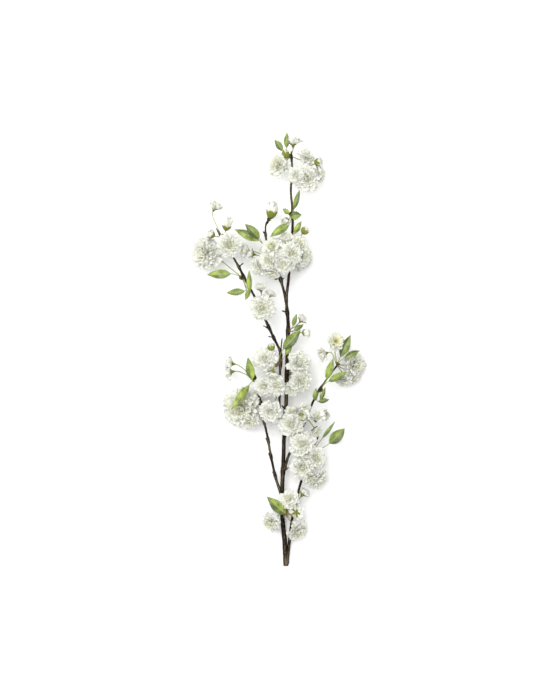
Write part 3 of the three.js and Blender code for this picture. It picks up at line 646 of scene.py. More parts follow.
def noiseOf(tree, scale, detail=3.0, stretch=None):
    place = node(tree, "ShaderNodeTexCoord").outputs["Object"]
    if stretch:
        place = node(tree, "ShaderNodeMapping", [("Vector", place)], Scale=stretch).outputs["Vector"]
    texture = node(tree, "ShaderNodeTexNoise", [("Vector", place)], Scale=scale, Detail=detail)
    return texture.outputs["Fac"]


plain, black = (1, 1, 1), (0, 0, 0)
lengthwise = 0.01  # so few side veins that only their sweep is seen, as lines along the blade
veinSharpness = 6
ribSharpness = 14


# veins that leave the middle line of a blade and sweep to its edge
def sideVeins(tree, count, sweep):
    across = node(tree, "ShaderNodeSeparateXYZ", [("Vector", node(tree, "ShaderNodeUVMap").outputs["UV"])])
    fromMiddle = maths(tree, "ABSOLUTE", maths(tree, "SUBTRACT", across.outputs["X"], 0.5))
    phase = maths(tree, "SUBTRACT", maths(tree, "MULTIPLY", across.outputs["Y"], count),
                  maths(tree, "MULTIPLY", fromMiddle, sweep))
    wave = maths(tree, "ABSOLUTE", maths(tree, "SUBTRACT", maths(tree, "FRACT", phase), 0.5))
    line = maths(tree, "SMOOTH_MIN", maths(tree, "MULTIPLY", wave, veinSharpness), 1)
    middle = maths(tree, "MINIMUM", maths(tree, "MULTIPLY", fromMiddle, ribSharpness), 1)
    return maths(tree, "MINIMUM", line, middle)


petalLook = {
    "heart": (0.60, 0.64, 0.30),  # yellow-green at the foot of the inner petals
    "cream": (0.78, 0.78, 0.61),
    "white": (0.82, 0.825, 0.79),
    "deeper": (0.92, 0.93, 0.89),  # tint of the deepest petals
    "between": (0.96, 0.96, 0.93),  # tint between two veins
    "veins": 22,
    "mottle": (0.95, 0.95, 0.92),
    "mottleScale": 220,
    "relief": (0.25, 0.0004),  # strength and height in metres
    "roughness": 0.6,
    "glow": 0.06,
    "sheen": 0.15,
}


def makePetalFinish():
    look = petalLook
    finish, tree, shader = newFinish("petalTissue", look["roughness"], look["glow"], look["sheen"])
    veins = sideVeins(tree, lengthwise, look["veins"])
    mottle = noiseOf(tree, look["mottleScale"])
    heart = attribute(tree, "heart")
    colour = ramp(tree, heart, (0, look["white"]), (0.35, look["cream"]), (1, look["heart"]))
    colour = tinted(tree, colour, attribute(tree, "tone"), (0, look["deeper"]), (1, plain))
    colour = tinted(tree, colour, veins, (0, look["between"]), (1, plain))
    colour = tinted(tree, colour, mottle, (0.3, look["mottle"]), (0.7, plain))
    dress(tree, shader, colour, maths(tree, "ADD", veins, mottle), *look["relief"])
    return finish


leafLook = {
    "dark": (0.040, 0.075, 0.004),
    "bright": (0.34, 0.43, 0.060),
    "vein": (0.43, 0.49, 0.20),
    "veins": 9,
    "veinSweep": 6,
    "patchDark": (0.42, 0.50, 0.35),
    "patchBright": (1.2, 1.15, 1.3),
    "patches": (75, 5.0),  # scale and detail
    "relief": (0.4, 0.0005),  # strength and height in metres
    "roughness": 0.32,
    "glow": 0.06,
    "gloss": 0.45,
}


def makeLeafFinish():
    look = leafLook
    finish, tree, shader = newFinish("leafTissue", look["roughness"], look["glow"], gloss=look["gloss"])
    veins = sideVeins(tree, look["veins"], look["veinSweep"])
    mottle = noiseOf(tree, *look["patches"])
    colour = ramp(tree, attribute(tree, "tone"), (0, look["dark"]), (1, look["bright"]))
    colour = tinted(tree, colour, mottle, (0.38, look["patchDark"]), (0.62, look["patchBright"]))
    onVein = ramp(tree, veins, (0, plain), (0.5, black))
    colour = blend(tree, "MIX", onVein, colour, look["vein"])
    dress(tree, shader, colour, maths(tree, "ADD", veins, mottle), *look["relief"])
    return finish


greenLook = {
    "stalk": (0.27, 0.32, 0.075),
    "calyx": (0.185, 0.215, 0.028),
    "blush": (0.24, 0.12, 0.07),  # reddish brown on stalks and sepals
    "blushes": (90, 4.0),  # scale and detail
    "deeper": (0.75, 0.75, 0.7),
    "paler": (1.15, 1.15, 1.1),
    "ribs": 12,
    "ribTints": (0.80, 1.03),
    "speckles": (480, 5.0),
    "speckleTints": (0.78, 1.14),
    "relief": (0.4, 0.0003),
    "roughness": 0.5,
    "glow": 0.04,
}


def makeGreenFinish(name, colour):
    look = greenLook
    finish, tree, shader = newFinish(name, look["roughness"], look["glow"])
    ribs = sideVeins(tree, lengthwise, look["ribs"])
    speckle = noiseOf(tree, *look["speckles"])
    patch = noiseOf(tree, *look["blushes"])
    colour = tinted(tree, colour, attribute(tree, "tone"), (0, look["deeper"]), (1, look["paler"]))
    for detail, (low, high) in ((ribs, look["ribTints"]), (speckle, look["speckleTints"])):
        colour = tinted(tree, colour, detail, (0.3, (low, low, low * 0.9)), (0.7, (high, high, high)))
    blushed = ramp(tree, patch, (0.52, black), (0.72, (0.7, 0.7, 0.7)))
    colour = blend(tree, "MIX", blushed, colour, look["blush"])
    dress(tree, shader, colour, maths(tree, "ADD", ribs, speckle), *look["relief"])
    return finish


scaleLook = {
    "dark": (0.030, 0.018, 0.010),
    "pale": (0.13, 0.095, 0.045),
    "red": (0.11, 0.030, 0.030),  # long scales are reddish, with pale stripes
    "palest": (0.52, 0.34, 0.30),
    "stripes": 9,
    "patchDark": (0.5, 0.45, 0.4),
    "patchBright": (1.1, 1.1, 1.0),
    "patches": (160, 4.0),
    "relief": (0.5, 0.0004),
    "roughness": 0.55,
    "glow": 0.04,
}


def makeScaleFinish():
    look = scaleLook
    finish, tree, shader = newFinish("scaleTissue", look["roughness"], look["glow"])
    stripes = sideVeins(tree, lengthwise, look["stripes"])
    brown = blend(tree, "MIX", stripes, look["dark"], look["pale"])
    red = blend(tree, "MIX", stripes, look["red"], look["palest"])
    colour = blend(tree, "MIX", attribute(tree, "heart"), brown, red)  # heart marks the long scales
    patch = noiseOf(tree, *look["patches"])
    colour = tinted(tree, colour, patch, (0.35, look["patchDark"]), (0.65, look["patchBright"]))
    dress(tree, shader, colour, stripes, *look["relief"])
    return finish


barkLook = {
    "dark": (0.004, 0.003, 0.002),
    "warm": (0.029, 0.019, 0.010),
    # pale worn bark, also the painted highlight on the tops and left sides of limbs
    "wearAndPaintedHighlight": (0.20, 0.155, 0.095),
    "broad": (60, 6.0, (1, 0.35, 1)),  # scale, detail and stretch
    "fine": (420, 5.0, (1, 0.3, 1)),
    "fineDark": (0.6, 0.6, 0.6),
    "fineBright": (1.1, 1.1, 1.1),
    "lines": (150, 3.0, (0.35, 3.2, 0.35)),  # short pale lines across a limb
    "lineStrength": 0.6,
    "smooth": (0.5, 0.5, 0.5),  # roughness in the hollows of the grain and on top of it
    "rough": (0.8, 0.8, 0.8),
    "relief": (0.7, 0.0012),
    "roughness": 0.7,
    "gloss": 0.08,
}


def makeBarkFinish():
    look = barkLook
    finish, tree, shader = newFinish("bark", look["roughness"], gloss=look["gloss"])
    broad = noiseOf(tree, *look["broad"])
    fine = noiseOf(tree, *look["fine"])
    lines = noiseOf(tree, *look["lines"])
    # broad patches of wear plus the tone, which carries painted light on tops and left sides and painted
    # shade along the sides
    wearAndPaintedLight = maths(tree, "ADD", broad, maths(tree, "SUBTRACT", attribute(tree, "tone"), 0.5))
    colour = ramp(tree, wearAndPaintedLight, (0.34, look["dark"]), (0.60, look["warm"]), (0.84, look["wearAndPaintedHighlight"]))
    colour = tinted(tree, colour, fine, (0.3, look["fineDark"]), (0.7, look["fineBright"]))
    onLine = ramp(tree, lines, (0.62, black), (0.70, plain))
    onLine = maths(tree, "MULTIPLY", onLine, look["lineStrength"])
    colour = blend(tree, "MIX", onLine, colour, look["wearAndPaintedHighlight"])
    roughness = ramp(tree, fine, (0.3, look["smooth"]), (0.7, look["rough"]))
    tree.links.new(roughness, shader.inputs["Roughness"])
    relief = maths(tree, "ADD", maths(tree, "ADD", fine, broad), lines)
    dress(tree, shader, colour, relief, *look["relief"])
    return finish


cutLook = {
    "dark": (0.32, 0.22, 0.12),
    "pale": (0.55, 0.42, 0.27),
    "roughness": 0.75,
    "grain": (700, 2.0),
    "relief": (0.4, 0.0004),
}
pollenLook = {
    "dark": (0.36, 0.20, 0.06),
    "pale": (0.66, 0.46, 0.16),
    "roughness": 0.7,
    "grain": (2500, 2.0),
    "relief": (0.5, 0.0002),
}


def makeGrainFinish(name, look):
    finish, tree, shader = newFinish(name, look["roughness"])
    grain = noiseOf(tree, *look["grain"])
    colour = ramp(tree, grain, (0.3, look["dark"]), (0.7, look["pale"]))
    dress(tree, shader, colour, grain, *look["relief"])
    return finish


petalTissue = makePetalFinish()
leafTissue = makeLeafFinish()
stalkTissue = makeGreenFinish("stalkTissue", greenLook["stalk"])
calyxTissue = makeGreenFinish("calyxTissue", greenLook["calyx"])
scaleTissue = makeScaleFinish()
bark = makeBarkFinish()
cutWood = makeGrainFinish("cutWood", cutLook)
pollen = makeGrainFinish("pollen", pollenLook)
print("finishes made")


woodLook = {
    "ringStep": 2.2,  # between two rings of the skin
    "columns": 16,
    "relief": 0.32,  # height of the bark's unevenness
    "lumps": 0.22,  # how many in a millimetre
    "grain": 0.7,
    "grainHeight": 0.6,
    "reliefTone": 0.3,  # how much paler the bark is on its lumps
    "knot": 1.3,  # swelling where something grows
    "knotReach": 6.0,
    "knotWithin": 12.0,  # how near a limb it has to grow
    "flare": 1.5,  # thickening where a limb leaves another
    "flareReach": 8.0,
    "tip": 0.015,  # share of a limb over which it narrows to its end
    "narrowing": 0.5,  # by this share of its radius
    "shade": 0.25,  # tone of the bark along both sides of a limb: painted shade, darker than its top
    "sky": 0.40,  # painted light: how much paler it is on top
    "wearAndPaintedLight": 0.08,  # painted light: how much paler it is on its left side, towards the key light
}
woodPaths = [smoothPath(limb["route"]) for limb in limbs]


def radiusAt(limb, shares):
    return np.interp(shares, np.linspace(0, 1, len(limb["radii"])), limb["radii"])


def barkRelief(points, seed):
    apart = Vector((seed, 0, 0))
    return np.array([noise.noise(Vector(tuple(point * woodLook["lumps"])) + apart)
                     + woodLook["grainHeight"] * noise.noise(Vector(tuple(point * woodLook["grain"])))
                     for point in points])


def addLimb(shape, limb, path, number):
    look = woodLook
    count = int(path["length"] / look["ringStep"]) + 2
    shares = np.linspace(0, 1, count)
    line = alongPath(path, shares)
    radii = radiusAt(limb, shares)
    if number:  # all but the leader leave another limb
        radii = radii + look["flare"] * np.exp(-shares * path["length"] / look["flareReach"])
    for knot in [cluster["collar"] for cluster in clusters] + [spur[0] for spur in spurs]:
        near = np.linalg.norm(line - np.array(knot, float), axis=1)
        if near.min() < look["knotWithin"]:
            radii = radii + look["knot"] * np.exp(-((near - near.min()) / look["knotReach"]) ** 2)
    beforeTip = 1 - look["tip"]
    inTip = shares > beforeTip
    radii = radii * np.where(inTip, 1 - look["narrowing"] * (shares - beforeTip) / look["tip"], 1)
    rings = ringsAlong(line, look["columns"])
    skin = (line[:, None] + rings * radii[:, None, None]).reshape(-1, 3)
    relief = barkRelief(skin, number).reshape(count, -1) * look["relief"]
    # painted light and shade in the tone: paler on each limb's top and left side, darker along its sides
    top = np.maximum(rings[..., 2], 0) ** 3
    tone = look["shade"] + look["reliefTone"] * relief + look["sky"] * top - look["wearAndPaintedLight"] * rings[..., 0]
    addTube(shape, line, radii[:, None] + relief, look["columns"], tone, 0, 0, closed=(number > 0, True))
    return line


spurLook = {
    "rings": 12,
    "columns": 10,
    "foot": 1.35,  # thickness at its foot as a share of its radius
    "taper": 0.75,  # and how much less it is at its end
    "bumps": 0.4,
    "relief": 0.3,
}


def addSpur(shape, foot, end, radius, number):
    foot, end = np.array(foot, float), np.array(end, float)
    t = np.linspace(0, 1, spurLook["rings"])
    line = foot + (end - foot) * t[:, None]
    swell = radius * (spurLook["foot"] - spurLook["taper"] * t) * np.where(t > 0.9, 0.7, 1)
    swell = swell + spurLook["bumps"] * np.sin(t * 9 + number)
    radii = swell + barkRelief(line, number) * spurLook["relief"]
    addTube(shape, line, radii, spurLook["columns"], 0.5, 0, 0)


def makeWood():
    shape = newShape()
    for number, (limb, path) in enumerate(zip(limbs, woodPaths)):
        line = addLimb(shape, limb, path, number)
        if number == 0:  # the leader starts at the cut, which has a finish of its own
            addCap(shape, 0, woodLook["columns"], line[0], (0.5, 0.5), 0.5, 0, 1, turned=True)
    for number, spur in enumerate(spurs):
        addSpur(shape, *spur, number)
    makePiece("wood_bark", shape, [bark, cutWood], ["wood"])


makeWood()
print("wood made")


blossomLook = {
    "spread": 1.12,  # petals end a little outside their flower's radius
    "lengths": (0.86, 1.04),  # from the shortest petal of a whorl to the longest
    "widths": (0.85, 1.15),
    "fineWidth": 10.0,  # a petal wider than this has the finer grid
    "grids": ((5, 7), (7, 9)),
    "thick": 0.25,
    "footSway": 8,  # how unevenly the petals of a whorl lean, in degrees
    "tipSway": 20,
    "gapSway": 0.32,  # and how unevenly they are spaced
    "foot": 0.2,  # width at a petal's foot, as a share of the most
    "widest": 0.76,  # where along its length it is widest
    "shoulder": 0.22,  # how far its corners are rounded
    "ruffle": 0.17,  # height of a petal's waves, as a share of its width
    "ruffles": (0.6, 1.5),  # from the flattest petal to the most waved
    "waves": ((1.1, 0.9), (2.2, 0.7), (3.5, 0.45)),  # turns across a petal, share of the height
    "frill": 0.06,  # how far its edge runs in and out
    "frillTurns": 3.4,
    "notch": 0.10,
    "notches": (0.2, 1.5),  # from the shallowest to the deepest
    "notchWidth": 0.2,
    "cup": 0.13,
    "cups": (0.4, 1.4),
    "yellow": (0.3, 1.2),  # strength of the colour in a flower's heart
}
# whorls from the outside in: petals, length and width as shares of the radius, tilt at the foot and
# at the tip in degrees, height of the foot
whorls = {
    "full": [
        (8, 1.0, 0.64, 3, -2, 0), (9, 0.98, 0.60, 15, 8, 0.03), (9, 0.94, 0.56, 28, 20, 0.06),
        (9, 0.87, 0.51, 40, 33, 0.08), (9, 0.78, 0.46, 52, 48, 0.1), (8, 0.68, 0.42, 63, 66, 0.12),
        (7, 0.57, 0.38, 73, 90, 0.13), (6, 0.46, 0.36, 80, 130, 0.14),
    ],
    "small": [
        (8, 1.0, 0.68, 3, -2, 0), (8, 0.97, 0.62, 18, 10, 0.03), (8, 0.90, 0.56, 34, 26, 0.06),
        (8, 0.80, 0.50, 49, 44, 0.09), (7, 0.66, 0.44, 64, 72, 0.12), (6, 0.5, 0.40, 78, 128, 0.13),
    ],
    "puff": [
        (11, 0.93, 0.56, -34, -48, 0.1), (12, 1.0, 0.56, -8, -14, 0.14), (13, 1.0, 0.54, 7, 3, 0.17),
        (13, 0.98, 0.51, 19, 14, 0.2), (13, 0.95, 0.48, 31, 25, 0.23), (12, 0.90, 0.45, 42, 36, 0.25),
        (11, 0.83, 0.42, 53, 49, 0.27), (10, 0.74, 0.38, 64, 64, 0.28), (8, 0.64, 0.36, 74, 88, 0.28),
        (7, 0.53, 0.35, 81, 128, 0.28),
    ],
    "half": [
        (6, 1.24, 0.80, 38, 46, 0), (7, 1.18, 0.70, 50, 58, 0.03), (6, 1.04, 0.60, 62, 80, 0.06),
        (5, 0.84, 0.50, 74, 112, 0.08),
    ],
    "ball": [(6, 2.2, 1.2, 0, 150, 0), (5, 1.9, 1.05, 12, 150, 0.05), (4, 1.6, 0.9, 24, 150, 0.1)],
}
# how far behind a flower's middle its petals start, as a share of its radius
depths = {"full": 0.35, "small": 0.35, "puff": 0.25, "half": 0.6, "ball": 0.8}
stamenLook = {
    "where": ["tip_high"],  # flowers with open middles
    "whorlsLess": 2,  # how many of the inner whorls are missing there
    "count": 26,
    "length": 0.36,  # as a share of the flower's radius
    "lengths": (0.8, 1.2),
    "lean": (4, 34),
    "rings": (6, 5),  # of a filament and of an anther
    "columns": (4, 6),
    "filament": 0.16,
    "anther": 0.6,
}


# one petal in its flower's own axes: its middle surface, where its veins are, and its rows
def petalSurface(radius, whorl, azimuth, rng):
    _, reach, breadth, footTilt, tipTilt, footHeight = whorl
    look = blossomLook
    length = radius * look["spread"] * reach * rng.uniform(*look["lengths"])
    width = radius * breadth * rng.uniform(*look["widths"])
    u, v, uv = bladeGrid(*look["grids"][width > look["fineWidth"]])
    fine = np.linspace(0, 1, 60)
    footSway = rng.uniform(-look["footSway"], look["footSway"])
    tipSway = rng.uniform(-look["tipSway"], look["tipSway"])
    tilt = np.radians(footTilt + footSway + (tipTilt - footTilt + tipSway) * fine**1.3)
    out, rise = bladeRun(tilt, length)
    # outline: rounded corners, a frilled edge and a notch in its middle
    notch = look["notch"] * rng.uniform(*look["notches"])
    frill = look["frill"] * np.sin(math.pi * look["frillTurns"] * u + rng.uniform(0, fullTurn))
    edge = frill - notch * np.exp(-((u / look["notchWidth"]) ** 2))
    place = v * (1 - look["shoulder"] * np.abs(u) ** 3.6) + edge * v**7
    widening = look["foot"] + 0.8 * np.sin(np.minimum(v / look["widest"], 1) * math.pi / 2) ** 0.9
    half = width / 2 * widening * (1 - 0.1 * np.maximum(v - look["widest"], 0) / (1 - look["widest"]))
    # height over its middle line: waves and a cup
    lean = np.interp(place, fine, tilt)
    wave = np.zeros_like(place)
    for turns, share in look["waves"]:
        wave += share * np.sin(math.pi * turns * u + rng.uniform(0, fullTurn) + 2.2 * v)
    ruffle = look["ruffle"] * rng.uniform(*look["ruffles"]) * wave * v**1.7
    cup = look["cup"] * rng.uniform(*look["cups"]) * (u**2 - 0.3) * v
    lift = width * (ruffle + cup)
    start = 0.1 * radius * max(math.cos(math.radians(footTilt)), 0.1)
    radial = start + np.interp(place, fine, out) - np.sin(lean) * lift
    height = footHeight * radius + np.interp(place, fine, rise) + np.cos(lean) * lift
    aside = half * u * (1 + 0.05 * rng.uniform(-1, 1)) + 0.06 * width * rng.uniform(-1, 1) * v
    return turnedBlade(azimuth, radial, aside, height), uv, v


def addPetals(shape, flower, openMiddle, rng):
    _, kind, at, face, radius = flower
    axes = facingAxes(face)
    base = np.array(at, float) - unit(face) * depths[kind] * radius
    layers = whorls[kind][: -stamenLook["whorlsLess"]] if openMiddle else whorls[kind]
    turn = rng.uniform(0, fullTurn)
    yellow = rng.uniform(*blossomLook["yellow"])
    sway = blossomLook["gapSway"]
    for level, whorl in enumerate(layers):
        inner = level / (len(layers) - 1)
        for petal in range(whorl[0]):
            azimuth = turn + (petal + rng.uniform(-sway, sway)) * fullTurn / whorl[0]
            surface, uv, v = petalSurface(radius, whorl, azimuth, rng)
            heart = np.clip(yellow * ((1 - v) ** 2 * (0.3 + 0.7 * inner) + 0.45 * inner**3), 0, 1)
            addBlade(shape, surface @ axes.T + base, uv, rng.uniform(0, 1), heart, 0, blossomLook["thick"])
        turn += math.pi / whorl[0] + rng.uniform(-0.2, 0.2)


def addStamens(shape, flower, rng):
    _, kind, at, face, radius = flower
    axes = facingAxes(face)
    look = stamenLook
    foot = np.array(at, float) + unit(face) * radius * (0.1 - depths[kind])
    for _ in range(look["count"]):
        angle = rng.uniform(0, fullTurn)
        lean = math.radians(rng.uniform(*look["lean"]))
        out = math.sin(lean)
        way = axes @ np.array([math.cos(angle) * out, math.sin(angle) * out, math.cos(lean)])
        tip = foot + way * radius * look["length"] * rng.uniform(*look["lengths"])
        line = pulledLine(foot, foot + unit(face) * radius * 0.12, tip, count=look["rings"][0])
        addTube(shape, line, np.full(len(line), look["filament"]), look["columns"][0], 0.5, 0.9, 0)
        t = np.linspace(-1, 1, look["rings"][1])
        bead = tip + way * (t * look["anther"])[:, None]
        addTube(shape, bead, look["anther"] * np.sqrt(1.05 - t**2), look["columns"][1], 0.5, 0, 1)


# flowers of one cluster that share a name are one piece
def makeBlossoms():
    seed = 0
    for cluster in clusters:
        for head in dict.fromkeys(flower[0] for flower in cluster["flowers"]):
            petals, stamens = newShape(), newShape()
            name = cluster["name"] + "_" + head
            openMiddle = name in stamenLook["where"]
            for flower in cluster["flowers"]:
                if flower[0] != head:
                    continue
                seed += 1
                rng = np.random.default_rng(seed)
                addPetals(petals, flower, openMiddle, rng)
                if openMiddle:
                    addStamens(stamens, flower, rng)
            makePiece(name + "_petals", petals, [petalTissue], [name])
            if stamens["count"]:
                makePiece(name + "_stamens", stamens, [petalTissue, pollen], [name])


makeBlossoms()
print("blossoms made")


stalkLook = {
    "radius": 1.0,
    "topSwell": 0.25,
    "footSwell": 0.2,
    "rings": 18,
    "columns": 8,
    "bend": 14,  # how far before its flower a long stalk turns to it
    "calyxDepth": 6,
    "calyxRadius": 3.8,
    "calyxFoot": 1.2,  # radius where the calyx meets its stalk
    "sepalThick": 0.4,
    "sepalCurl": -8,
    "petiole": 0.8,  # radius of a leaf's own stalk
    "petioleRings": 14,
}
# sepals of each kind of flower: tilt in degrees, length and width
sepalShapes = {
    "full": (-14, 10, 5.5), "small": (-14, 10, 5.5), "puff": (-50, 10, 5.5), "half": (33, 12.5, 8.5),
    "ball": (34, 11, 8.0),
}
collarLook = {
    "radius": 2.8,
    "depth": 0.3,  # how far stalks start from its middle, as a share of its radius
    "scales": 6,
    "scaleLength": 7.0,
    "scaleWidth": 4.6,
    "scaleThick": 0.5,
    "scaleTilt": 62,
    "scaleCurl": -18,
    "longScales": {"foot": 17.0, "crown": 10.0, "inner_high": 11.0},  # clusters with longer bud scales
    "atEnd": 5.0,  # a collar this near to a limb's end turns the way that the limb goes
    "endTurn": 3.0,
}
# places of the finishes in a piece of green
stalkFinish, calyxFinish, scaleFinish = 0, 1, 2


def startOf(collar, foot):
    return collar + unit(foot - collar) * collarLook["radius"] * collarLook["depth"]


def addStalk(shape, collar, foot, facing, rng):
    look = stalkLook
    start = startOf(collar, foot)
    bend = min(np.linalg.norm(foot - start) * 0.4, look["bend"])
    middle = start + (foot - start) * 0.3
    line = pulledLine(start, middle, foot - facing * bend, foot, count=look["rings"])
    t = np.linspace(0, 1, look["rings"])
    radii = look["radius"] * (1 + look["topSwell"] * t**6 + look["footSwell"] * np.exp(-t * 12))
    addTube(shape, line, radii, look["columns"], rng.uniform(0, 1), 0, stalkFinish)


# a pointed blade that rises at a tilt from a ring round what it grows on
def addSepal(shape, base, axes, azimuth, ring, tilt, curl, length, width, thick, rng, finish, heart=0.0):
    u, v, uv = bladeGrid(9, 5)
    lean = np.radians(tilt + curl * v)
    out, rise = bladeRun(lean[:, 0], length)
    half = width / 2 * np.maximum(np.sin(math.pi * (0.22 + 0.78 * v)) ** 0.8, 0.03)
    cup = 0.25 * half * u**2
    radial = ring + out[:, None] - np.sin(lean) * cup
    height = rise[:, None] + np.cos(lean) * cup
    grid = turnedBlade(azimuth, radial, half * u, height)
    addBlade(shape, grid @ axes.T + base, uv, rng.uniform(0, 1), heart, finish, thick)


def addCalyx(shape, collar, flower, rng):
    _, kind, at, face, radius = flower
    look = stalkLook
    facing = unit(face)
    axes = facingAxes(face)
    top = np.array(at, float) - facing * (depths[kind] * radius + 0.3)
    foot = top - facing * look["calyxDepth"]
    addStalk(shape, collar, foot, facing, rng)
    t = np.linspace(0, 1, 10)
    swell = look["calyxFoot"] + (look["calyxRadius"] - look["calyxFoot"]) * np.sin(t * math.pi / 2) ** 1.3
    line = foot + facing * (t * (look["calyxDepth"] + 0.6))[:, None]
    addTube(shape, line, swell, 12, rng.uniform(0, 1), 0, calyxFinish)
    turn = rng.uniform(0, fullTurn)
    tilt, length, width = sepalShapes[kind]
    for sepal in range(5):
        azimuth = turn + sepal * fullTurn / 5
        addSepal(shape, top, axes, azimuth, look["calyxRadius"] * 0.8, tilt + rng.uniform(-6, 6),
                 look["sepalCurl"], length, width, look["sepalThick"], rng, calyxFinish)


budLook = {
    "egg": (0.72, 0.76),  # radius and length of the closed middle, as shares of the bud's
    "grid": (18, 20),
    "folds": 0.05,  # petals wound round each other
    # whorls from the outside in: petals, length as a share of the bud's, how much steeper its petals
    # leave than the outermost, tilt of their tips
    "whorls": [(6, 1.0, 0, 114), (6, 0.97, 5, 108), (5, 0.93, 10, 100)],
    "petalWidth": 1.1,
    "leave": 97,  # tilt of the petals' feet in degrees, less the next for a squat bud
    "squat": 132,
    "closed": 0.80,  # petals of a closed bud, as a share of its length
    "opening": 0.26,  # how much longer they are where it has opened
    "cover": 0.94,  # height of the cup on a closed bud, as a share of its length
    "uncover": 0.72,  # how much lower it is where the bud has opened
    "cupThick": 0.5,
    "lobe": 0.3,  # depth of the notches between the cup's five lobes, as a share of its height
}


# radius of an egg along its length
def eggRadius(t):
    return np.sin(math.pi * t**0.82) ** 0.72


def addBud(greens, whites, collar, bud, rng):
    at, face, radius, length, white = bud
    facing = unit(face)
    axes = facingAxes(face)
    foot = np.array(at, float) - facing * length / 2
    addStalk(greens, collar, foot, facing, rng)
    addBudMiddle(whites, foot, facing, radius, length, rng)
    turn = rng.uniform(0, fullTurn)
    leave = budLook["leave"] - budLook["squat"] * radius / length
    reach = (budLook["closed"] + budLook["opening"] * white) * length / radius
    for count, share, steeper, close in budLook["whorls"]:
        whorl = (count, share * reach, budLook["petalWidth"], leave + steeper, close, 0)
        for petal in range(count):
            azimuth = turn + (petal + rng.uniform(-0.2, 0.2)) * fullTurn / count
            surface, uv, v = petalSurface(radius, whorl, azimuth, rng)
            heart = 0.5 * (1 - v) ** 1.5 + 0.04
            addBlade(whites, surface @ axes.T + foot, uv, rng.uniform(0, 1), heart, 0, blossomLook["thick"])
        turn += math.pi / count
    cover = budLook["cover"] - budLook["uncover"] * white
    addBudCup(greens, foot, axes, radius, length, cover, turn, rng)


def addBudMiddle(whites, foot, facing, radius, length, rng):
    rows, columns = budLook["grid"]
    wide, long = budLook["egg"]
    t = np.linspace(0.01, 0.985, rows)
    angle = np.arange(columns) * fullTurn / columns
    folds = 1 + budLook["folds"] * np.cos(3 * angle[None, :] + 5 * t[:, None])
    line = foot + facing * (t * length * long)[:, None]
    egg = radius * wide * eggRadius(t)
    heart = np.broadcast_to((1 - t)[:, None] * 0.5 + 0.15, (rows, columns))
    addTube(whites, line, egg[:, None] * folds, columns, rng.uniform(0, 0.6), heart, 0)


# five sepals joined to a cup that covers a share of the bud
def addBudCup(greens, foot, axes, radius, length, cover, turn, rng):
    for sepal in range(5):
        u, v, uv = bladeGrid(15, 9)
        lobe = 1 - budLook["lobe"] * np.abs(u) ** 2.2  # a sepal is highest along its middle
        place = np.clip(v * cover * lobe, 0.01, 0.95)
        azimuth = turn + sepal * fullTurn / 5 + 0.66 * u
        reach = radius * eggRadius(place) + 0.3 + 0.9 * v**6
        grid = np.stack([reach * np.cos(azimuth), reach * np.sin(azimuth), place * length], -1)
        tone = rng.uniform(0.2, 0.8) + 0.3 * v - 0.3 * np.abs(u) ** 3
        addBlade(greens, grid @ axes.T + foot, uv, tone, 0, calyxFinish, budLook["cupThick"])


leafBlade = {
    "fold": 0.22,  # how far both halves rise from the rib
    "taper": 0.8,  # less puts the widest part nearer to the foot
    "toothSpacing": 3.7,
    "toothDepth": 0.24,
    "shadedHalf": 0.52,  # painted shade: how much darker one half of a blade is than the other, as if its fold turned it from the light
    "thick": 0.4,
    "columns": 13,
    "veins": 9,
    "veinHeight": 0.08,
    "ribHeight": 0.125,
    "wave": 0.09,
}


def addLeaf(leaves, greens, collar, leaf, rng):
    base, tip, width, arch = leaf
    look = leafBlade
    base, tip = np.array(base, float), np.array(tip, float)
    middle = (base + tip) / 2 + up * 2 * arch
    teeth = max(int(np.linalg.norm(tip - base) / look["toothSpacing"]), 5)
    u, v, uv = bladeGrid(teeth * 3 + 1, look["columns"])
    rib = (1 - v) ** 2 * base + 2 * v * (1 - v) * middle + v**2 * tip
    tangent = 2 * (1 - v) * (middle - base) + 2 * v * (tip - middle)
    tangent /= np.linalg.norm(tangent, axis=1, keepdims=True)
    across = np.cross(tangent, up)
    across /= np.linalg.norm(across, axis=-1, keepdims=True)
    over = np.cross(across, tangent)
    # outline with teeth
    half = width / 2 * np.sin(math.pi * v ** look["taper"])
    saw = np.tile([0.0, 0.5, 1.0], teeth + 1)[: len(v)][:, None] - 0.5
    half = half * (1 + look["toothDepth"] * saw * np.abs(u) ** 3) + 0.15
    # height over the rib: fold, side veins and waves along the edge
    sideRibs = np.cos(fullTurn * (v * look["veins"] - 3 * np.abs(u)))
    relief = look["veinHeight"] * sideRibs * np.abs(u) * (1 - np.abs(u)) * 4
    relief = relief + look["ribHeight"] * np.exp(-((u / 0.08) ** 2))
    wave = look["wave"] * width * u**2 * np.sin(fullTurn * (1.9 * v + rng.uniform(0, 1)) + 1.5 * np.sign(u))
    lift = look["fold"] * half * u**2 - relief + wave
    surface = rib[:, None] + across[:, None] * (half * u)[..., None] + over[:, None] * lift[..., None]
    # painted shade on one half of each blade
    tone = rng.uniform(0.5, 1) - look["shadedHalf"] / (1 + np.exp(u * rng.choice([-9, 9])))
    tone = tone - 0.2 * np.abs(u) ** 6
    addBlade(leaves, surface, uv, tone, 0, 0, look["thick"])
    start = startOf(collar, base)
    bend = base - tangent[0] * 0.4 * np.linalg.norm(base - start)
    line = pulledLine(start, bend, base, base + tangent[0] * 2, count=stalkLook["petioleRings"])
    radii = np.full(len(line), stalkLook["petiole"])
    addTube(greens, line, radii, stalkLook["columns"], rng.uniform(0, 1), 0, stalkFinish)


# the wood's middle and radius nearest to a point, and its way on where a limb ends there
def nearestOnWood(point):
    shares = np.linspace(0, 1, 400)
    best = None
    for limb, path in zip(limbs, woodPaths):
        places = alongPath(path, shares)
        distance = np.linalg.norm(places - point, axis=1)
        k = int(distance.argmin())
        if best is None or distance[k] < best[0]:
            atEnd = (1 - shares[k]) * path["length"] < collarLook["atEnd"]
            ahead = unit(places[-1] - places[-9]) if atEnd else np.zeros(3)
            best = (distance[k], places[k], radiusAt(limb, shares[k]), ahead)
    return best[1:]


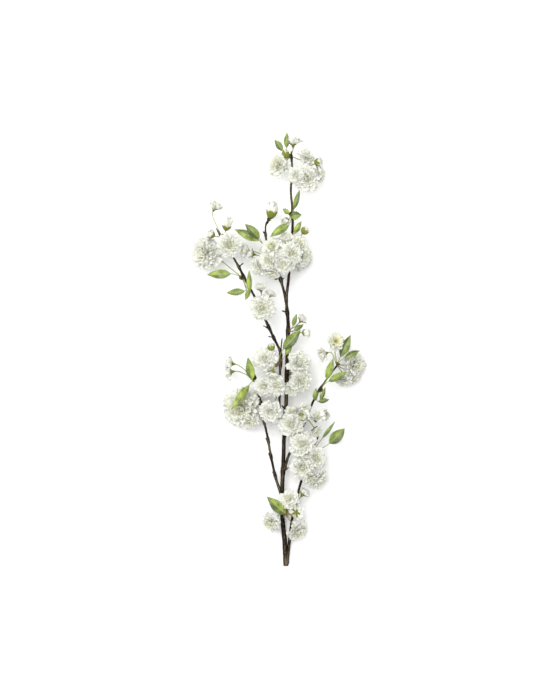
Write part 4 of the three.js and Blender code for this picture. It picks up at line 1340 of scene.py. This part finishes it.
# a short boss on the wood with two rings of bud scales
def addCollar(shape, name, collar, rng):
    look = collarLook
    middle, radius, ahead = nearestOnWood(collar)
    outwards = unit(unit(collar - middle) + look["endTurn"] * ahead)
    root = middle + outwards * 0.9 * radius
    t = np.linspace(0, 1, 8)
    line = root + (collar + outwards * 2 - root) * t[:, None]
    addTube(shape, line, look["radius"] * (1.05 - 0.35 * t**2), 12, 0.2, 0, scaleFinish)
    axes = facingAxes(outwards)
    length = look["longScales"].get(name, look["scaleLength"])
    width = look["scaleWidth"] * (length / look["scaleLength"]) ** 0.4
    tilt = look["scaleTilt"] - 1.6 * (length - look["scaleLength"])  # long scales spread wider
    isLong = float(name in look["longScales"])
    for level in range(2):
        base = root + (collar - root) * (0.35 + 0.4 * level)
        for scale in range(look["scales"]):
            azimuth = (scale + 0.5 * level) * fullTurn / look["scales"] + rng.uniform(-0.15, 0.15)
            addSepal(shape, base, axes, azimuth, look["radius"] * 0.85, tilt + 10 * level,
                     look["scaleCurl"], length, width, look["scaleThick"], rng, scaleFinish, isLong)


def makeGreens():
    for seed, cluster in enumerate(clusters):
        rng = np.random.default_rng(500 + seed)
        collar = np.array(cluster["collar"], float)
        greens, leaves, whites = newShape(), newShape(), newShape()
        addCollar(greens, cluster["name"], collar, rng)
        for flower in cluster["flowers"]:
            addCalyx(greens, collar, flower, rng)
        for bud in cluster["buds"]:
            addBud(greens, whites, collar, bud, rng)
        for leaf in cluster["leaves"]:
            addLeaf(leaves, greens, collar, leaf, rng)
        name = cluster["name"]
        nodes = [name + "_stalks"]
        makePiece(name + "_greens", greens, [stalkTissue, calyxTissue, scaleTissue], nodes)
        if leaves["count"]:
            makePiece(name + "_leaves", leaves, [leafTissue], nodes)
        if whites["count"]:
            makePiece(name + "_bud_petals", whites, [petalTissue], nodes)


makeGreens()
print("greens made")


studioLook = {
    "floor": (0.97, 0.97, 0.97),
    "floorSize": 30.0,
    "sky": 1.06,  # even light from all sides
    "keyPower": 68.0,
    "keySize": 2.0,
    "keyPlace": (-0.7, 0.8, 3.0),
    "lens": 85.0,
    "distance": 3.85,  # from the camera down to the surface
    "middle": (0.0014, 0.0014),  # what the camera stands over
}


def makeFloor():
    size = studioLook["floorSize"] / 2
    corners = [(-size, -size, 0), (size, -size, 0), (size, size, 0), (-size, size, 0)]
    mesh = bpy.data.meshes.new("surface")
    mesh.from_pydata(corners, [], [(0, 1, 2, 3)])
    floor = bpy.data.objects.new("surface", mesh)
    bpy.context.scene.collection.objects.link(floor)
    finish, tree, shader = newFinish("paleSurface", 0.9)
    pale = studioLook["floor"]
    dimmer = tuple(value * 0.99 for value in pale)
    colour = ramp(tree, noiseOf(tree, 300, 2.0), (0, dimmer), (1, pale))
    tree.links.new(colour, shader.inputs["Base Color"])
    mesh.materials.append(finish)


def makeLight():
    world = bpy.data.worlds.new("studio")
    world.use_nodes = True
    background = world.node_tree.nodes["Background"]
    background.inputs["Color"].default_value = (1, 1, 1, 1)
    background.inputs["Strength"].default_value = studioLook["sky"]
    bpy.context.scene.world = world
    key = bpy.data.lights.new("key", "AREA")
    key.energy = studioLook["keyPower"]
    key.size = studioLook["keySize"]
    lamp = bpy.data.objects.new("key", key)
    lamp.location = studioLook["keyPlace"]
    lamp.rotation_euler = (Vector((0, 0, 0)) - lamp.location).to_track_quat("-Z", "Y").to_euler()
    bpy.context.scene.collection.objects.link(lamp)


def makeCamera():
    camera = bpy.data.cameras.new("camera")
    camera.lens = studioLook["lens"]
    holder = bpy.data.objects.new("camera", camera)
    holder.location = (*studioLook["middle"], studioLook["distance"])
    bpy.context.scene.collection.objects.link(holder)
    bpy.context.scene.camera = holder


makeFloor()
makeLight()
makeCamera()
bpy.context.scene.view_settings.view_transform = "Standard"
print("stage made;", sum(triangleCounts.values()), "triangles, most", max(triangleCounts.values()))
